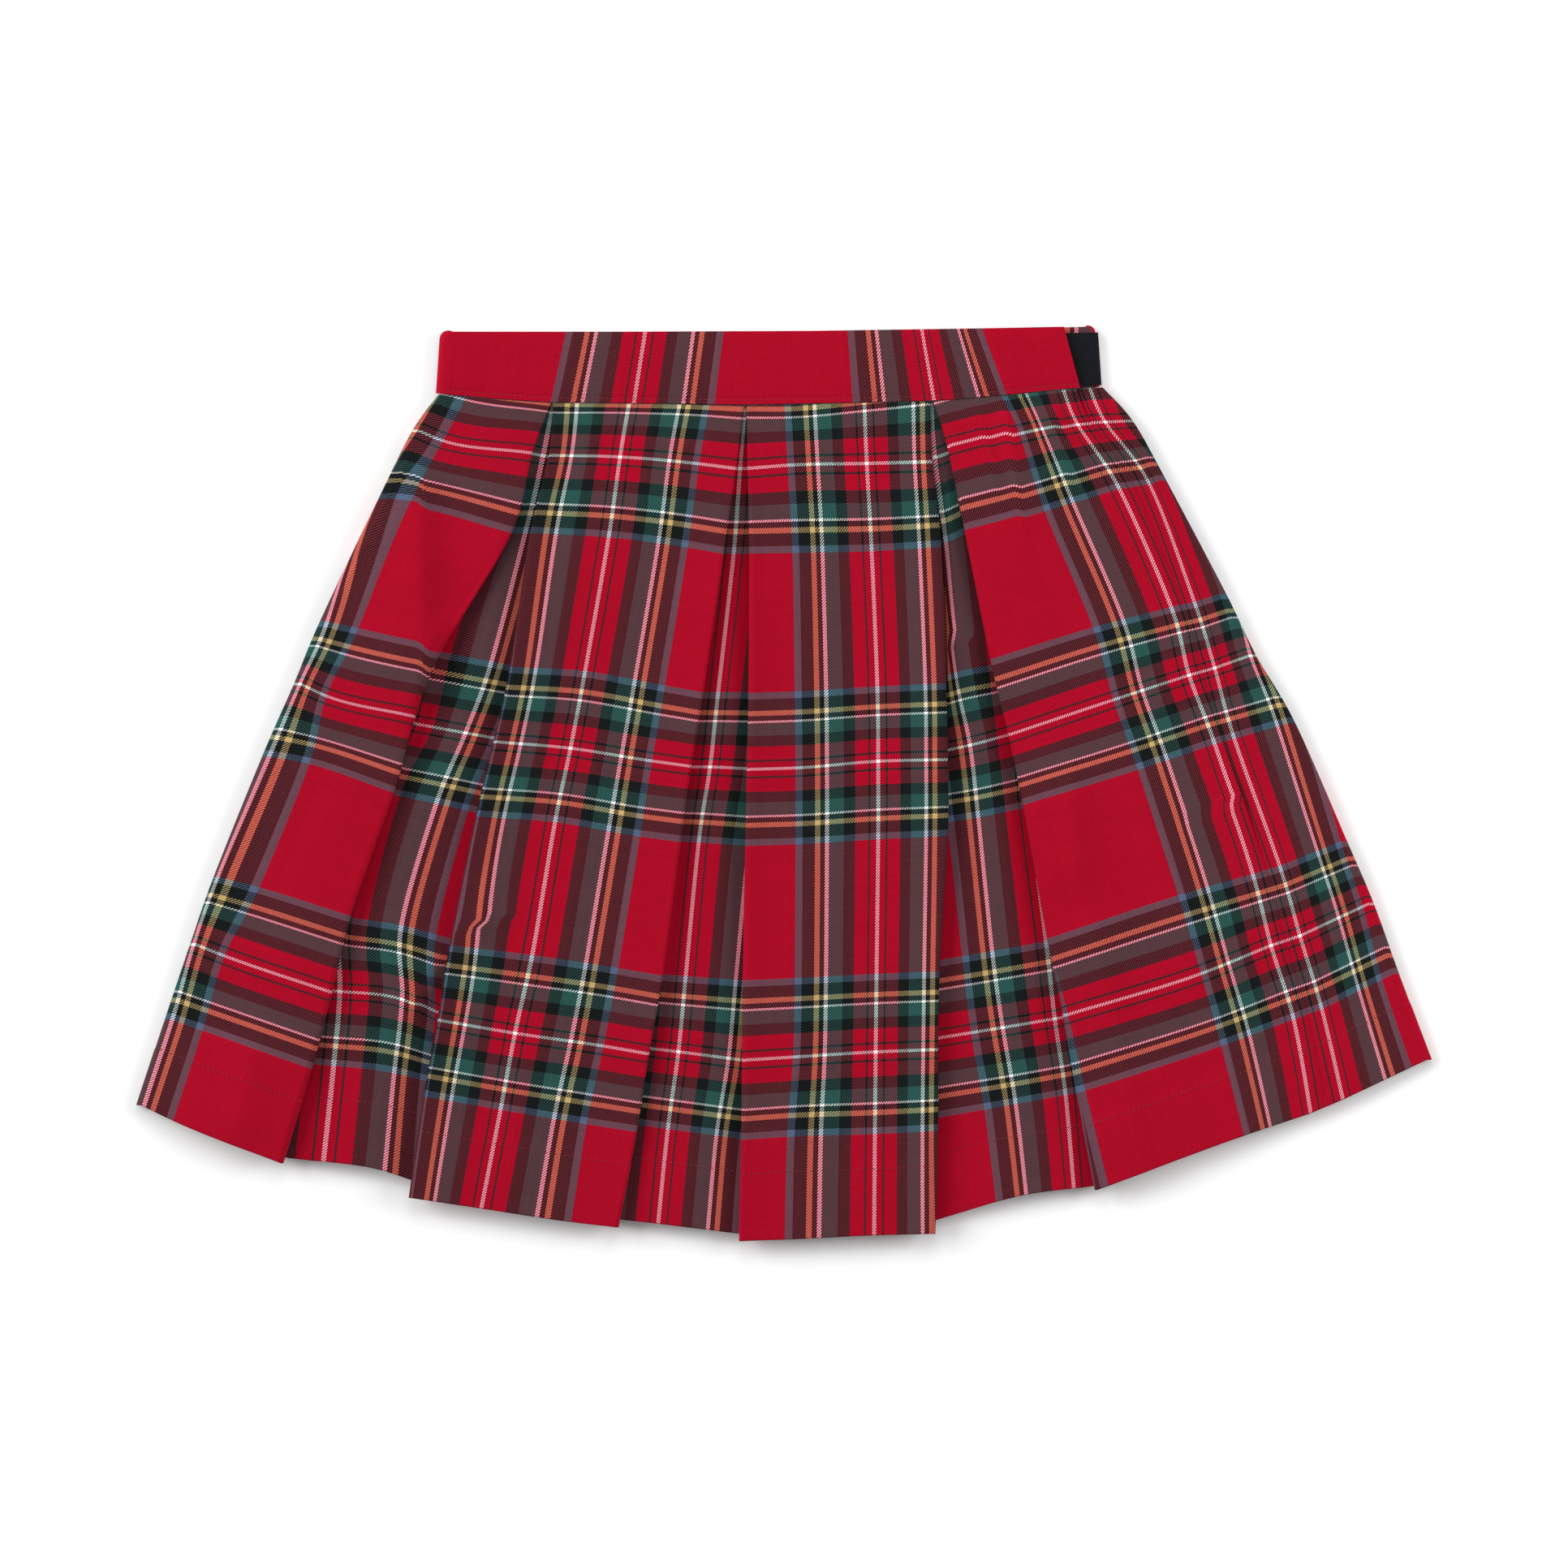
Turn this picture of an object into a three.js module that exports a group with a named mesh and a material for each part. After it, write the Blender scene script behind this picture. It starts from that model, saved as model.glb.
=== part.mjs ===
// A pleated tartan skirt laid flat, face up. Millimetres, +Z up, +X to the right, +Y towards the waist.
// The origin is under the middle of the outline, on the surface that the skirt lies on.
import * as THREE from 'three';

// Real sizes
const SKIRT_LENGTH = 461;
const CLOTH = 1.0;
const BAND = 2.0;
const TAPE = 1.0;
const SEAM_GAP = 0.3;
// How far a pleat's two edges stay back from their common line, and the least step between points across
const EDGE_GAP = 0.2;
const LEAST_STEP = 0.4;
// How much shorter a hidden return is than its panel, so that it doesn't show under the hem
const RETURN_RAISE = 1.2;
// Distance between cloth layers where the pleats are pressed under the band, and at the loose hem
const PRESSED_SPACING = 1.35;
const LOOSE_SPACING = 1.8;
const LAYERS_ABOVE = 5;
// How many layers lower the front lies at the hem, at the last blue line, the white line and the side edge,
// and how many lower the strip beside the side seam starts at the waist, where no pleat fills the band
const HEM_DROP = { blue: 1.1, white: 1.5, edge: 2.6 };
const STRIP_DIP = 1.2;
const LEFT_SEAM_INSET = 12.3;
// How far across the strip beside the side seam its white line may lie, as a share
const STRIP_WHITE_LIMIT = 0.7;

// Steps between points of a section
const PANEL_STEPS = 2;
const BACK_PANEL_STEPS = 5;
const SIDE_TURN_STEPS = 6;
const FOLD_STEPS = 4;
const RETURN_STEPS = 2;
const BAND_STEPS = 30;

// The outline as read from above, in picture units, and the unit's real size in millimetres
const OUTLINE_TOP = 404;
const OUTLINE_BOTTOM = 1529;
const MIDDLE_X = 966;
const MIDDLE_Y = 966.5;
const UNIT = SKIRT_LENGTH / (OUTLINE_BOTTOM - OUTLINE_TOP);

// Levels from the waist seam to the hem, where the folds below are read, and the extra ones between
const HEM_LEVEL = 9;
const ROWS = [0, 0.5, 1, 2, 2.5, 3, 4, 5, 5.5, 6, 7, 8, HEM_LEVEL];

// Front folds, panel edges and one or two cloth lines in each panel. x and y in picture units,
// one number a level: seam, white 1, blue 1, blue 2, white 2, blue 3, blue 4, white 3, blue 5, hem
const FRONT = {
  leftEdge: {
    x: [540, 507, 465, 393, 361, 322, 262, 233, 202, 167],
    y: [485, 531, 615, 766, 843, 932, 1081, 1164, 1256, 1362],
  },
  panel1Blue: {
    x: [568, 540, 496, 437, 398, 376, 314, 272, 245, 209],
    y: [488, 541, 618, 774, 856, 940, 1092, 1176, 1268, 1379],
  },
  panel1End: {
    x: [680, 657, 632, 546, 513, 487, 434, 411, 386, 350],
    y: [497, 558, 656, 802, 883, 976, 1128, 1222, 1316, 1433],
  },
  inset1Start: {
    x: [680, 657, 632, 546, 513, 487, 434, 411, 386, 355],
    y: [498, 559, 657, 804, 892, 980, 1131, 1221, 1311, 1427],
  },
  inset1White: {
    x: [680, 668, 646, 605, 573, 537, 494, 495, 485, 473],
    y: [498, 561, 657, 815, 903, 990, 1140, 1230, 1322, 1443],
  },
  inset1End: {
    x: [680, 675, 652, 627, 607, 585, 553, 538, 521, 503],
    y: [498, 562, 658, 819, 909, 1001, 1156, 1248, 1331, 1453],
  },
  panel2Start: {
    x: [680, 675, 652, 627, 607, 585, 553, 538, 521, 503],
    y: [498, 561, 657, 822, 914, 1006, 1165, 1257, 1351, 1476],
  },
  panel2White: {
    x: [775, 764, 750, 721, 703, 684, 656, 635, 617, 593],
    y: [497, 563, 662, 827, 922, 1013, 1177, 1273, 1367, 1489],
  },
  panel2Blue: {
    x: [870, 857, 843, 815, 799, 784, 757, 739, 718, 699],
    y: [498, 571, 674, 844, 937, 1030, 1192, 1288, 1384, 1505],
  },
  panel2End: {
    x: [918, 908, 893, 868, 853, 840, 818, 801, 786, 763],
    y: [500, 577, 682, 853, 944, 1037, 1202, 1298, 1394, 1512],
  },
  inset2Start: {
    x: [918, 908, 893, 868, 853, 840, 818, 801, 786, 765],
    y: [500, 577, 682, 853, 945, 1037, 1201, 1292, 1386, 1503],
  },
  inset2White: {
    x: [918, 912, 904, 885, 875, 861, 845, 836, 823, 811],
    y: [500, 577, 682, 853, 945, 1038, 1203, 1296, 1391, 1508],
  },
  inset2End: {
    x: [919, 920, 922, 921, 919, 917, 914, 913, 912, 908],
    y: [500, 577, 682, 853, 947, 1042, 1208, 1306, 1403, 1520],
  },
  panel3Start: {
    x: [919, 920, 922, 921, 919, 917, 914, 913, 912, 910],
    y: [499, 577, 682, 854, 948, 1042, 1208, 1306, 1404, 1529],
  },
  panel3Blue: {
    x: [971, 975, 981, 984, 985, 985, 984, 982, 975, 972],
    y: [499, 573, 681, 852, 946, 1040, 1205, 1302, 1400, 1527],
  },
  panel3White: {
    x: [1065, 1068, 1074, 1081, 1082, 1082, 1080, 1079, 1078, 1077],
    y: [496, 571, 679, 846, 938, 1034, 1200, 1296, 1397, 1522],
  },
  panel3End: {
    x: [1147, 1150, 1161, 1167, 1169, 1169, 1159, 1157, 1157, 1153],
    y: [494, 569, 674, 842, 936, 1030, 1197, 1293, 1393, 1520],
  },
  inset3Start: {
    x: [1148, 1150, 1161, 1167, 1169, 1169, 1159, 1157, 1157, 1155],
    y: [495, 563, 669, 832, 924, 1013, 1183, 1279, 1377, 1503],
  },
  inset3White: {
    x: [1148, 1152, 1166, 1187, 1196, 1206, 1223, 1236, 1252, 1265],
    y: [495, 563, 668, 828, 918, 1007, 1172, 1266, 1360, 1472],
  },
  inset3End: {
    x: [1149, 1168, 1187, 1219, 1241, 1259, 1289, 1308, 1325, 1345],
    y: [495, 558, 659, 820, 906, 996, 1160, 1254, 1347, 1462],
  },
  panel4Start: {
    x: [1149, 1166, 1187, 1219, 1241, 1259, 1289, 1308, 1325, 1348],
    y: [496, 550, 653, 812, 905, 991, 1156, 1251, 1346, 1466],
  },
  panel4Blue: {
    x: [1238, 1259, 1291, 1351, 1376, 1406, 1456, 1484, 1509, 1537],
    y: [488, 532, 628, 772, 861, 947, 1102, 1198, 1287, 1398],
  },
  panel4White: {
    x: [1310, 1327, 1379, 1443, 1465, 1496, 1544, 1566, 1594, 1615],
    y: [480, 522, 602, 748, 832, 917, 1077, 1165, 1256, 1372],
  },
  backWhite: {
    x: [1343, 1362, 1417, 1472, 1497, 1521, 1577, 1602, 1629, 1655],
    y: [478, 520, 597, 742, 823, 910, 1067, 1153, 1243, 1355],
  },
  rightEdge: {
    x: [1360, 1397, 1438, 1512, 1549, 1597, 1661, 1694, 1725, 1765],
    y: [478, 519, 592, 732, 808, 891, 1037, 1114, 1200, 1306],
  },
};

// How far each pleat's hidden return reaches under its panel, in picture units, at the waist and the hem
const FRONT_PLEATS = [
  { panelEnd: 'panel1End', inset: ['inset1Start', 'inset1White', 'inset1End'], panelStart: 'panel2Start',
    next: 'panel2White', leftReturn: [98, 31], rightReturn: [97, 88] },
  { panelEnd: 'panel2End', inset: ['inset2Start', 'inset2White', 'inset2End'], panelStart: 'panel3Start',
    next: 'panel3Blue', leftReturn: [104, 77], rightReturn: [102, 52] },
  { panelEnd: 'panel3End', inset: ['inset3Start', 'inset3White', 'inset3End'], panelStart: 'panel4Start',
    next: 'panel4Blue', leftReturn: [104, 53], rightReturn: [122, 30] },
];

// Back pleats, each edge as a share of the width from the left edge to the right one, at waist and hem
const BACK_PLEATS = [
  { rightEdge: [0.79, 0.83], leftEdge: [0.788, 0.75], returnDepth: [100, 45] },
  { rightEdge: [0.53, 0.565], leftEdge: [0.528, 0.47], returnDepth: [100, 60] },
  { rightEdge: [0.26, 0.3], leftEdge: [0.258, 0.215], returnDepth: [100, 45] },
];

// How far on, as a share of the width, the back's line is read for the slope of a return
const BACK_NEXT = 0.06;

// The back hangs lower in its middle than at its edges: how far, at each level, in picture units,
// and the share of it at each share of the width
const BACK_DROP = [17, 49, 74, 98, 114, 124, 140, 154, 163, 170];
const BACK_DROP_SHAPE = [
  { at: 0, share: 0 }, { at: 0.06, share: 0.17 }, { at: 0.12, share: 0.32 }, { at: 0.21, share: 0.48 },
  { at: 0.3, share: 0.7 }, { at: 0.42, share: 0.9 }, { at: 0.5, share: 0.97 }, { at: 0.6, share: 0.92 },
  { at: 0.66, share: 0.8 }, { at: 0.74, share: 0.68 }, { at: 0.8, share: 0.52 }, { at: 0.88, share: 0.3 },
  { at: 0.95, share: 0.1 }, { at: 1, share: 0 },
];

// Waist seam and top edge of the band, read from above
const WAIST_SEAM = [
  { x: 538, y: 485 }, { x: 610, y: 491.5 }, { x: 680, y: 496 }, { x: 775, y: 497 }, { x: 918, y: 499 },
  { x: 1066, y: 496 }, { x: 1147, y: 494 }, { x: 1180, y: 492 }, { x: 1238, y: 487 }, { x: 1310, y: 479.5 },
  { x: 1343, y: 477.5 }, { x: 1360, y: 477 },
];
const BAND_TOP = [
  { x: 540, y: 411 }, { x: 760, y: 411 }, { x: 1000, y: 410 }, { x: 1200, y: 407 }, { x: 1360, y: 404 },
];
const BAND_LEFT = { top: 543, bottom: 538 };
const BAND_RIGHT = { top: 1350, bottom: 1355 };
const BAND_FRONT_END = { top: 1311, bottom: 1331 };
const UNDERLAP_END = 1262;
const TAPE_START = 1283;
const TAPE_TOP_INSET = 7;
const TAPE_BOTTOM_INSET = 2;
const CORNER_RADIUS = 3;
const BAND_TALL = WAIST_SEAM[0].y - BAND_TOP[0].y;
// Shares of the band's height at which its sections lie, from the seam up
const BAND_ROWS = [0, 0.35, 0.7, 0.92, 0.97, 1];
const TAPE_ROWS = [0, 0.35, 0.7, 0.93, 1];

const toX = (x) => (x - MIDDLE_X) * UNIT;
const toY = (y) => (MIDDLE_Y - y) * UNIT;
const mix = (a, b, t) => a + (b - a) * t;

// A smooth value through numbers one level apart
function smooth(values, level) {
  const i = Math.min(Math.floor(level), values.length - 2);
  const t = level - i;
  const before = Math.max(i - 1, 0);
  const after = Math.min(i + 2, values.length - 1);
  const [a, b, c, d] = [before, i, i + 1, after].map((k) => values[k]);
  return b + 0.5 * t * (c - a + t * (2 * a - 5 * b + 4 * c - d + t * (3 * (b - c) + d - a)));
}

// A value between the rows of a table with columns from and to
function lookUp(table, from, to, place) {
  const at = Math.min(Math.max(place, table[0][from]), table[table.length - 1][from]);
  const next = Math.max(1, table.findIndex((row) => row[from] >= at));
  const [a, b] = [table[next - 1], table[next]];
  return mix(a[to], b[to], (at - a[from]) / (b[from] - a[from]));
}

function frontPoint(name, level) {
  const line = FRONT[name];
  return { x: toX(smooth(line.x, level)), y: toY(smooth(line.y, level)) };
}

// Height of layer 0 (the back panels) to layer 5 (the front panels)
function spacing(level) {
  return mix(PRESSED_SPACING, LOOSE_SPACING, level / HEM_LEVEL);
}
const layerHeight = (layer, level) => CLOTH / 2 + layer * spacing(level);
const droppedHeight = (drop, level) => layerHeight(LAYERS_ABOVE - drop * (level / HEM_LEVEL) ** 2, level);

// The waist seam's place at x
const seamY = (x) => toY(lookUp(WAIST_SEAM, 'x', 'y', x / UNIT + MIDDLE_X));

// The top row of a cloth lies just under the waist seam
function onSeam(path, level) {
  if (level > 0) return path;
  return path.map((point) => ({ ...point, y: seamY(point.x) - EDGE_GAP }));
}

// A point of the back at a share of the width
function backPoint(share, level) {
  const left = frontPoint('leftEdge', level);
  const right = frontPoint('rightEdge', level);
  const drop = smooth(BACK_DROP, level) * lookUp(BACK_DROP_SHAPE, 'at', 'share', share) * UNIT;
  const x = mix(left.x, right.x, share);
  return { x, y: mix(left.y, right.y, share) - drop };
}

// Adds a straight run of count steps to a path, from its last point
function runTo(path, end, count) {
  const start = path[path.length - 1];
  for (let i = 1; i <= count; i++) {
    const t = i / count;
    path.push({ x: mix(start.x, end.x, t), y: mix(start.y, end.y, t), z: mix(start.z, end.z, t) });
  }
}

// Adds a half-round fold to a path, from its last point to the height z, bulging to the side given by sign
function foldTo(path, z, sign, y, steps = FOLD_STEPS) {
  const start = path[path.length - 1];
  const radius = (z - start.z) / 2;
  for (let i = 1; i <= steps; i++) {
    const angle = (Math.PI * i) / steps;
    path.push({
      x: start.x + sign * Math.abs(radius) * Math.sin(angle),
      y: mix(start.y, y, i / steps),
      z: start.z + radius * (1 - Math.cos(angle)),
    });
  }
}

// Adds one box pleat between two panels: fold, hidden return, fold, inset, fold, hidden return, fold.
// heading is 1 where the path runs to +X, and layers are those of the panel, the return and the inset
function addPleat(path, pleat, heading, layers, level) {
  const turn = spacing(level) / 2;
  const edge = turn + CLOTH / 2 + EDGE_GAP;
  const [panelZ, returnZ, insetZ] = layers.map((layer) => layerHeight(layer, level));
  const { end, inset, start, next, leftDepth, rightDepth } = pleat;
  const before = path[path.length - 1];
  const leftRise = ((end.y - before.y) / (end.x - before.x)) * leftDepth * heading;
  const rightRise = ((next.y - start.y) / (next.x - start.x)) * rightDepth * heading;
  runTo(path, { x: end.x - heading * edge, y: end.y, z: panelZ }, pleat.panelSteps);
  foldTo(path, returnZ, heading, end.y);
  const innerEndX = end.x - heading * (edge + leftDepth);
  const innerEnd = { x: innerEndX, y: end.y - leftRise + RETURN_RAISE, z: returnZ };
  runTo(path, innerEnd, RETURN_STEPS);
  foldTo(path, insetZ, -heading, innerEnd.y);
  for (const point of inset) {
    const least = heading * path[path.length - 1].x + LEAST_STEP;
    runTo(path, { x: heading * Math.max(heading * point.x, least), y: point.y, z: insetZ }, 1);
  }
  const innerStartX = start.x + heading * (edge + rightDepth);
  const innerStart = { x: innerStartX, y: start.y + rightRise + RETURN_RAISE, z: insetZ };
  runTo(path, innerStart, RETURN_STEPS);
  foldTo(path, returnZ, heading, innerStart.y);
  runTo(path, { x: start.x + heading * edge, y: start.y, z: returnZ }, RETURN_STEPS);
  foldTo(path, panelZ, -heading, start.y);
}

const depthAt = (range, level) => mix(range[0], range[1], level / HEM_LEVEL) * UNIT;

// The side seam on the front, between the front's and the back's white lines
function sideSeam(level) {
  const a = frontPoint('panel4White', level);
  const b = frontPoint('backWhite', level);
  return { x: (a.x + b.x) / 2, y: (a.y + b.y) / 2 };
}

// Centre line of the front cloth at one level, from the hidden left seam to the side seam
function frontPath(level) {
  const edge = frontPoint('leftEdge', level);
  const top = layerHeight(LAYERS_ABOVE, level);
  const edgeTop = droppedHeight(HEM_DROP.edge, level);
  const bottom = layerHeight(0, level);
  const turnX = edge.x + (edgeTop - bottom) / 2 + CLOTH / 2;
  const width = frontPoint('rightEdge', level).x - edge.x;
  const seam = backPoint(LEFT_SEAM_INSET / width, level);
  const path = [{ ...seam, z: bottom }];
  runTo(path, { x: turnX, y: edge.y, z: bottom }, 1);
  foldTo(path, edgeTop, -1, edge.y, SIDE_TURN_STEPS);
  const { x: blueX, y: blueY } = frontPoint('panel1Blue', level);
  const whiteTop = droppedHeight(HEM_DROP.white, level);
  runTo(path, { x: Math.max(blueX, turnX + LEAST_STEP), y: blueY, z: whiteTop }, PANEL_STEPS);
  const between = [[], ['panel2White', 'panel2Blue'], ['panel3Blue', 'panel3White']];
  FRONT_PLEATS.forEach((pleat, i) => {
    for (const name of between[i]) runTo(path, { ...frontPoint(name, level), z: top }, PANEL_STEPS);
    addPleat(path, {
      end: frontPoint(pleat.panelEnd, level),
      inset: pleat.inset.map((name) => frontPoint(name, level)),
      start: frontPoint(pleat.panelStart, level),
      next: frontPoint(pleat.next, level),
      leftDepth: depthAt(pleat.leftReturn, level),
      rightDepth: depthAt(pleat.rightReturn, level),
      panelSteps: PANEL_STEPS,
    }, 1, [5, 4, 3], level);
  });
  runTo(path, { ...frontPoint('panel4Blue', level), z: droppedHeight(HEM_DROP.blue, level) }, PANEL_STEPS);
  runTo(path, { ...frontPoint('panel4White', level), z: whiteTop }, 1);
  const end = sideSeam(level);
  runTo(path, { x: end.x - SEAM_GAP / 2, y: end.y, z: whiteTop }, 1);
  return onSeam(path, level);
}

// Centre line of the back cloth at one level, from the side seam round the right edge to the hidden left seam
function backPath(level) {
  const edge = frontPoint('rightEdge', level);
  const dip = STRIP_DIP * Math.max(0, 1 - level) * spacing(level);
  const top = droppedHeight(HEM_DROP.white, level) - dip;
  const edgeTop = droppedHeight(HEM_DROP.edge, level) - dip;
  const bottom = layerHeight(0, level);
  const turnX = edge.x - (edgeTop - bottom) / 2 - CLOTH / 2;
  const start = sideSeam(level);
  const path = [{ x: start.x + SEAM_GAP / 2, y: start.y, z: top }];
  const white = frontPoint('backWhite', level);
  runTo(path, { x: Math.min(white.x, mix(start.x, turnX, STRIP_WHITE_LIMIT)), y: white.y, z: top }, 1);
  runTo(path, { x: turnX, y: edge.y, z: edgeTop }, PANEL_STEPS);
  foldTo(path, bottom, 1, edge.y, SIDE_TURN_STEPS);
  const shareAt = (range) => mix(range[0], range[1], level / HEM_LEVEL);
  for (const pleat of BACK_PLEATS) {
    const depth = depthAt(pleat.returnDepth, level);
    const [rightShare, leftShare] = [shareAt(pleat.rightEdge), shareAt(pleat.leftEdge)];
    const shares = [rightShare, leftShare, leftShare - BACK_NEXT];
    const [right, left, next] = shares.map((share) => backPoint(share, level));
    addPleat(path, {
      end: right,
      inset: [right, left],
      start: left,
      next,
      leftDepth: depth,
      rightDepth: depth,
      panelSteps: BACK_PANEL_STEPS,
    }, -1, [0, 1, 2], level);
  }
  const width = edge.x - frontPoint('leftEdge', level).x;
  const end = backPoint((LEFT_SEAM_INSET + SEAM_GAP) / width, level);
  runTo(path, { ...end, z: bottom }, BACK_PANEL_STEPS);
  return onSeam(path, level);
}

// A closed wall of one thickness round rows of centre lines, each lying along its own line across the cloth
function wall(paths, thickness) {
  const count = paths[0].length;
  const positions = [];
  for (const side of [1, -1]) {
    for (const path of paths) {
      path.forEach((point, i) => {
        const before = path[Math.max(i - 1, 0)];
        const after = path[Math.min(i + 1, count - 1)];
        const dx = after.x - before.x;
        const dz = after.z - before.z;
        const reach = (side * thickness) / 2 / Math.hypot(dx, dz);
        positions.push(point.x - dz * reach, point.y, point.z + dx * reach);
      });
    }
  }
  const layer = paths.length * count;
  const at = (side, row, column) => side * layer + row * count + column;
  const index = [];
  const quad = (a, b, c, d) => index.push(a, b, c, a, c, d);
  for (let row = 0; row < paths.length - 1; row++) {
    for (let i = 0; i < count - 1; i++) {
      quad(at(0, row, i), at(0, row + 1, i), at(0, row + 1, i + 1), at(0, row, i + 1));
      quad(at(1, row, i), at(1, row, i + 1), at(1, row + 1, i + 1), at(1, row + 1, i));
    }
    quad(at(0, row, 0), at(1, row, 0), at(1, row + 1, 0), at(0, row + 1, 0));
    quad(at(0, row, count - 1), at(0, row + 1, count - 1), at(1, row + 1, count - 1), at(1, row, count - 1));
  }
  const last = paths.length - 1;
  for (let i = 0; i < count - 1; i++) {
    quad(at(0, 0, i), at(0, 0, i + 1), at(1, 0, i + 1), at(1, 0, i));
    quad(at(0, last, i), at(1, last, i), at(1, last, i + 1), at(0, last, i + 1));
  }
  const geometry = new THREE.BufferGeometry();
  geometry.setAttribute('position', new THREE.Float32BufferAttribute(positions, 3));
  geometry.setIndex(index);
  geometry.computeVertexNormals();
  return geometry;
}

// Heights of the band's four layers: back wall, underlap, tape and front wall
const BAND_BACK_Z = BAND / 2;
const UNDERLAP_Z = BAND_BACK_Z + BAND + SEAM_GAP;
const TAPE_Z = UNDERLAP_Z + BAND / 2 + SEAM_GAP + TAPE / 2;
const BAND_FRONT_Z = TAPE_Z + TAPE / 2 + SEAM_GAP + BAND / 2;

// A height on the band at x: share 0 is just over the waist seam, and share 1 the top edge
function bandHeight(x, share) {
  return mix(seamY(x) + SEAM_GAP, toY(lookUp(BAND_TOP, 'x', 'y', x / UNIT + MIDDLE_X)), share);
}

// How far a rounded top corner draws the band's ends in
function cornerInset(share) {
  const height = BAND_TALL * UNIT;
  const above = Math.max(0, share * height - (height - CORNER_RADIUS));
  return CORNER_RADIUS - Math.sqrt(CORNER_RADIUS ** 2 - above ** 2);
}

// Centre line of the band at a share of its height: front end, left turn, back, right turn, underlap
function bandPath(share) {
  const left = toX(mix(BAND_LEFT.bottom, BAND_LEFT.top, share)) + cornerInset(share);
  const right = toX(mix(BAND_RIGHT.bottom, BAND_RIGHT.top, share)) - cornerInset(share);
  const leftTurn = (BAND_FRONT_Z - BAND_BACK_Z) / 2;
  const rightTurn = (UNDERLAP_Z - BAND_BACK_Z) / 2;
  const path = [{ x: toX(mix(BAND_FRONT_END.bottom, BAND_FRONT_END.top, share)), y: 0, z: BAND_FRONT_Z }];
  runTo(path, { x: left + leftTurn + BAND / 2, y: 0, z: BAND_FRONT_Z }, BAND_STEPS);
  foldTo(path, BAND_BACK_Z, -1, 0, SIDE_TURN_STEPS);
  runTo(path, { x: right - rightTurn - BAND / 2, y: 0, z: BAND_BACK_Z }, BAND_STEPS);
  foldTo(path, UNDERLAP_Z, 1, 0, SIDE_TURN_STEPS);
  runTo(path, { x: toX(UNDERLAP_END), y: 0, z: UNDERLAP_Z }, 3);
  return path.map((point) => ({ ...point, y: bandHeight(point.x, share) })).reverse();
}

// The tape lies on the underlap and bends with it a little way round the right turn
function tapePath(tapeShare) {
  const share = mix(TAPE_BOTTOM_INSET, BAND_TALL - TAPE_TOP_INSET, tapeShare) / BAND_TALL;
  const right = toX(mix(BAND_RIGHT.bottom, BAND_RIGHT.top, share));
  const turn = (UNDERLAP_Z - BAND_BACK_Z) / 2;
  const centre = right - turn - BAND / 2;
  const reach = TAPE_Z - UNDERLAP_Z + turn;
  const middleZ = (UNDERLAP_Z + BAND_BACK_Z) / 2;
  const path = [{ x: toX(TAPE_START), y: 0, z: TAPE_Z }];
  runTo(path, { x: centre, y: 0, z: TAPE_Z }, 3);
  for (let i = 1; i <= SIDE_TURN_STEPS; i++) {
    const angle = (Math.PI / 2) * (i / SIDE_TURN_STEPS);
    path.push({ x: centre + reach * Math.sin(angle), y: 0, z: middleZ + reach * Math.cos(angle) });
  }
  return path.map((point) => ({ ...point, y: bandHeight(point.x, share) }));
}

const tartan = () => new THREE.MeshStandardMaterial({ color: 0xb80828, roughness: 0.9, metalness: 0 });
const blackTape = new THREE.MeshStandardMaterial({ color: 0x141517, roughness: 0.95, metalness: 0 });

function piece(name, geometry, material) {
  const mesh = new THREE.Mesh(geometry, material);
  mesh.name = name;
  return mesh;
}

const skirt = new THREE.Group();
skirt.add(
  piece('front_skirt', wall(ROWS.map(frontPath), CLOTH), tartan()),
  piece('back_skirt', wall(ROWS.map(backPath), CLOTH), tartan()),
  piece('waistband', wall(BAND_ROWS.map(bandPath).reverse(), BAND), tartan()),
  piece('fastening_tape', wall(TAPE_ROWS.map(tapePath).reverse(), TAPE), blackTape),
);

export default skirt;
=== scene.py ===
"""Pleated tartan skirt laid flat, face up: its cloth, stitching and plain studio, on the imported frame."""
import math

import bmesh
import bpy
import numpy as np
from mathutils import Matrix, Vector


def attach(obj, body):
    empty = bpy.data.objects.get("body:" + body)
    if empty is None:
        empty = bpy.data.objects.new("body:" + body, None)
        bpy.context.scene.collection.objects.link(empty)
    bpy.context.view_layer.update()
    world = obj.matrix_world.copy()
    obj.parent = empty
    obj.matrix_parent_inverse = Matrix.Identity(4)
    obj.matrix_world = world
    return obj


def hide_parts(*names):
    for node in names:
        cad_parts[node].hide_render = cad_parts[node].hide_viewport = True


bl_info = {
    "name": "Pleated tartan skirt",
    "version": (1, 0, 0),
    "blender": (4, 5, 0),
    "location": "3D View > Sidebar > Skirt",
    "description": "Makes a pleated tartan skirt laid flat, and a plain studio for it",
    "category": "Object",
}

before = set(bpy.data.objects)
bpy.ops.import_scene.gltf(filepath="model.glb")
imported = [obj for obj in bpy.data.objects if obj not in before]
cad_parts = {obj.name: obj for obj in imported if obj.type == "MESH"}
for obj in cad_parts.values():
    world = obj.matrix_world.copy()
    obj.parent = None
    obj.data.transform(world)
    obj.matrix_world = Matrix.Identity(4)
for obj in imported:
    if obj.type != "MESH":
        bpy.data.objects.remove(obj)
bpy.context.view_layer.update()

# The picture's size in its own units, a unit in metres, and the picture place that lies over the origin
PICTURE_SIZE = 1932
UNIT = 0.461 / 1125
MIDDLE_X = 966
MIDDLE_Y = 966.5

MILLIMETRE = 0.001

# Layers of cloth: their wall, and their spacing under the band and at the hem, in metres
WALL = 0.001
PRESSED_SPACING = 0.00135
LOOSE_SPACING = 0.0018

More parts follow.
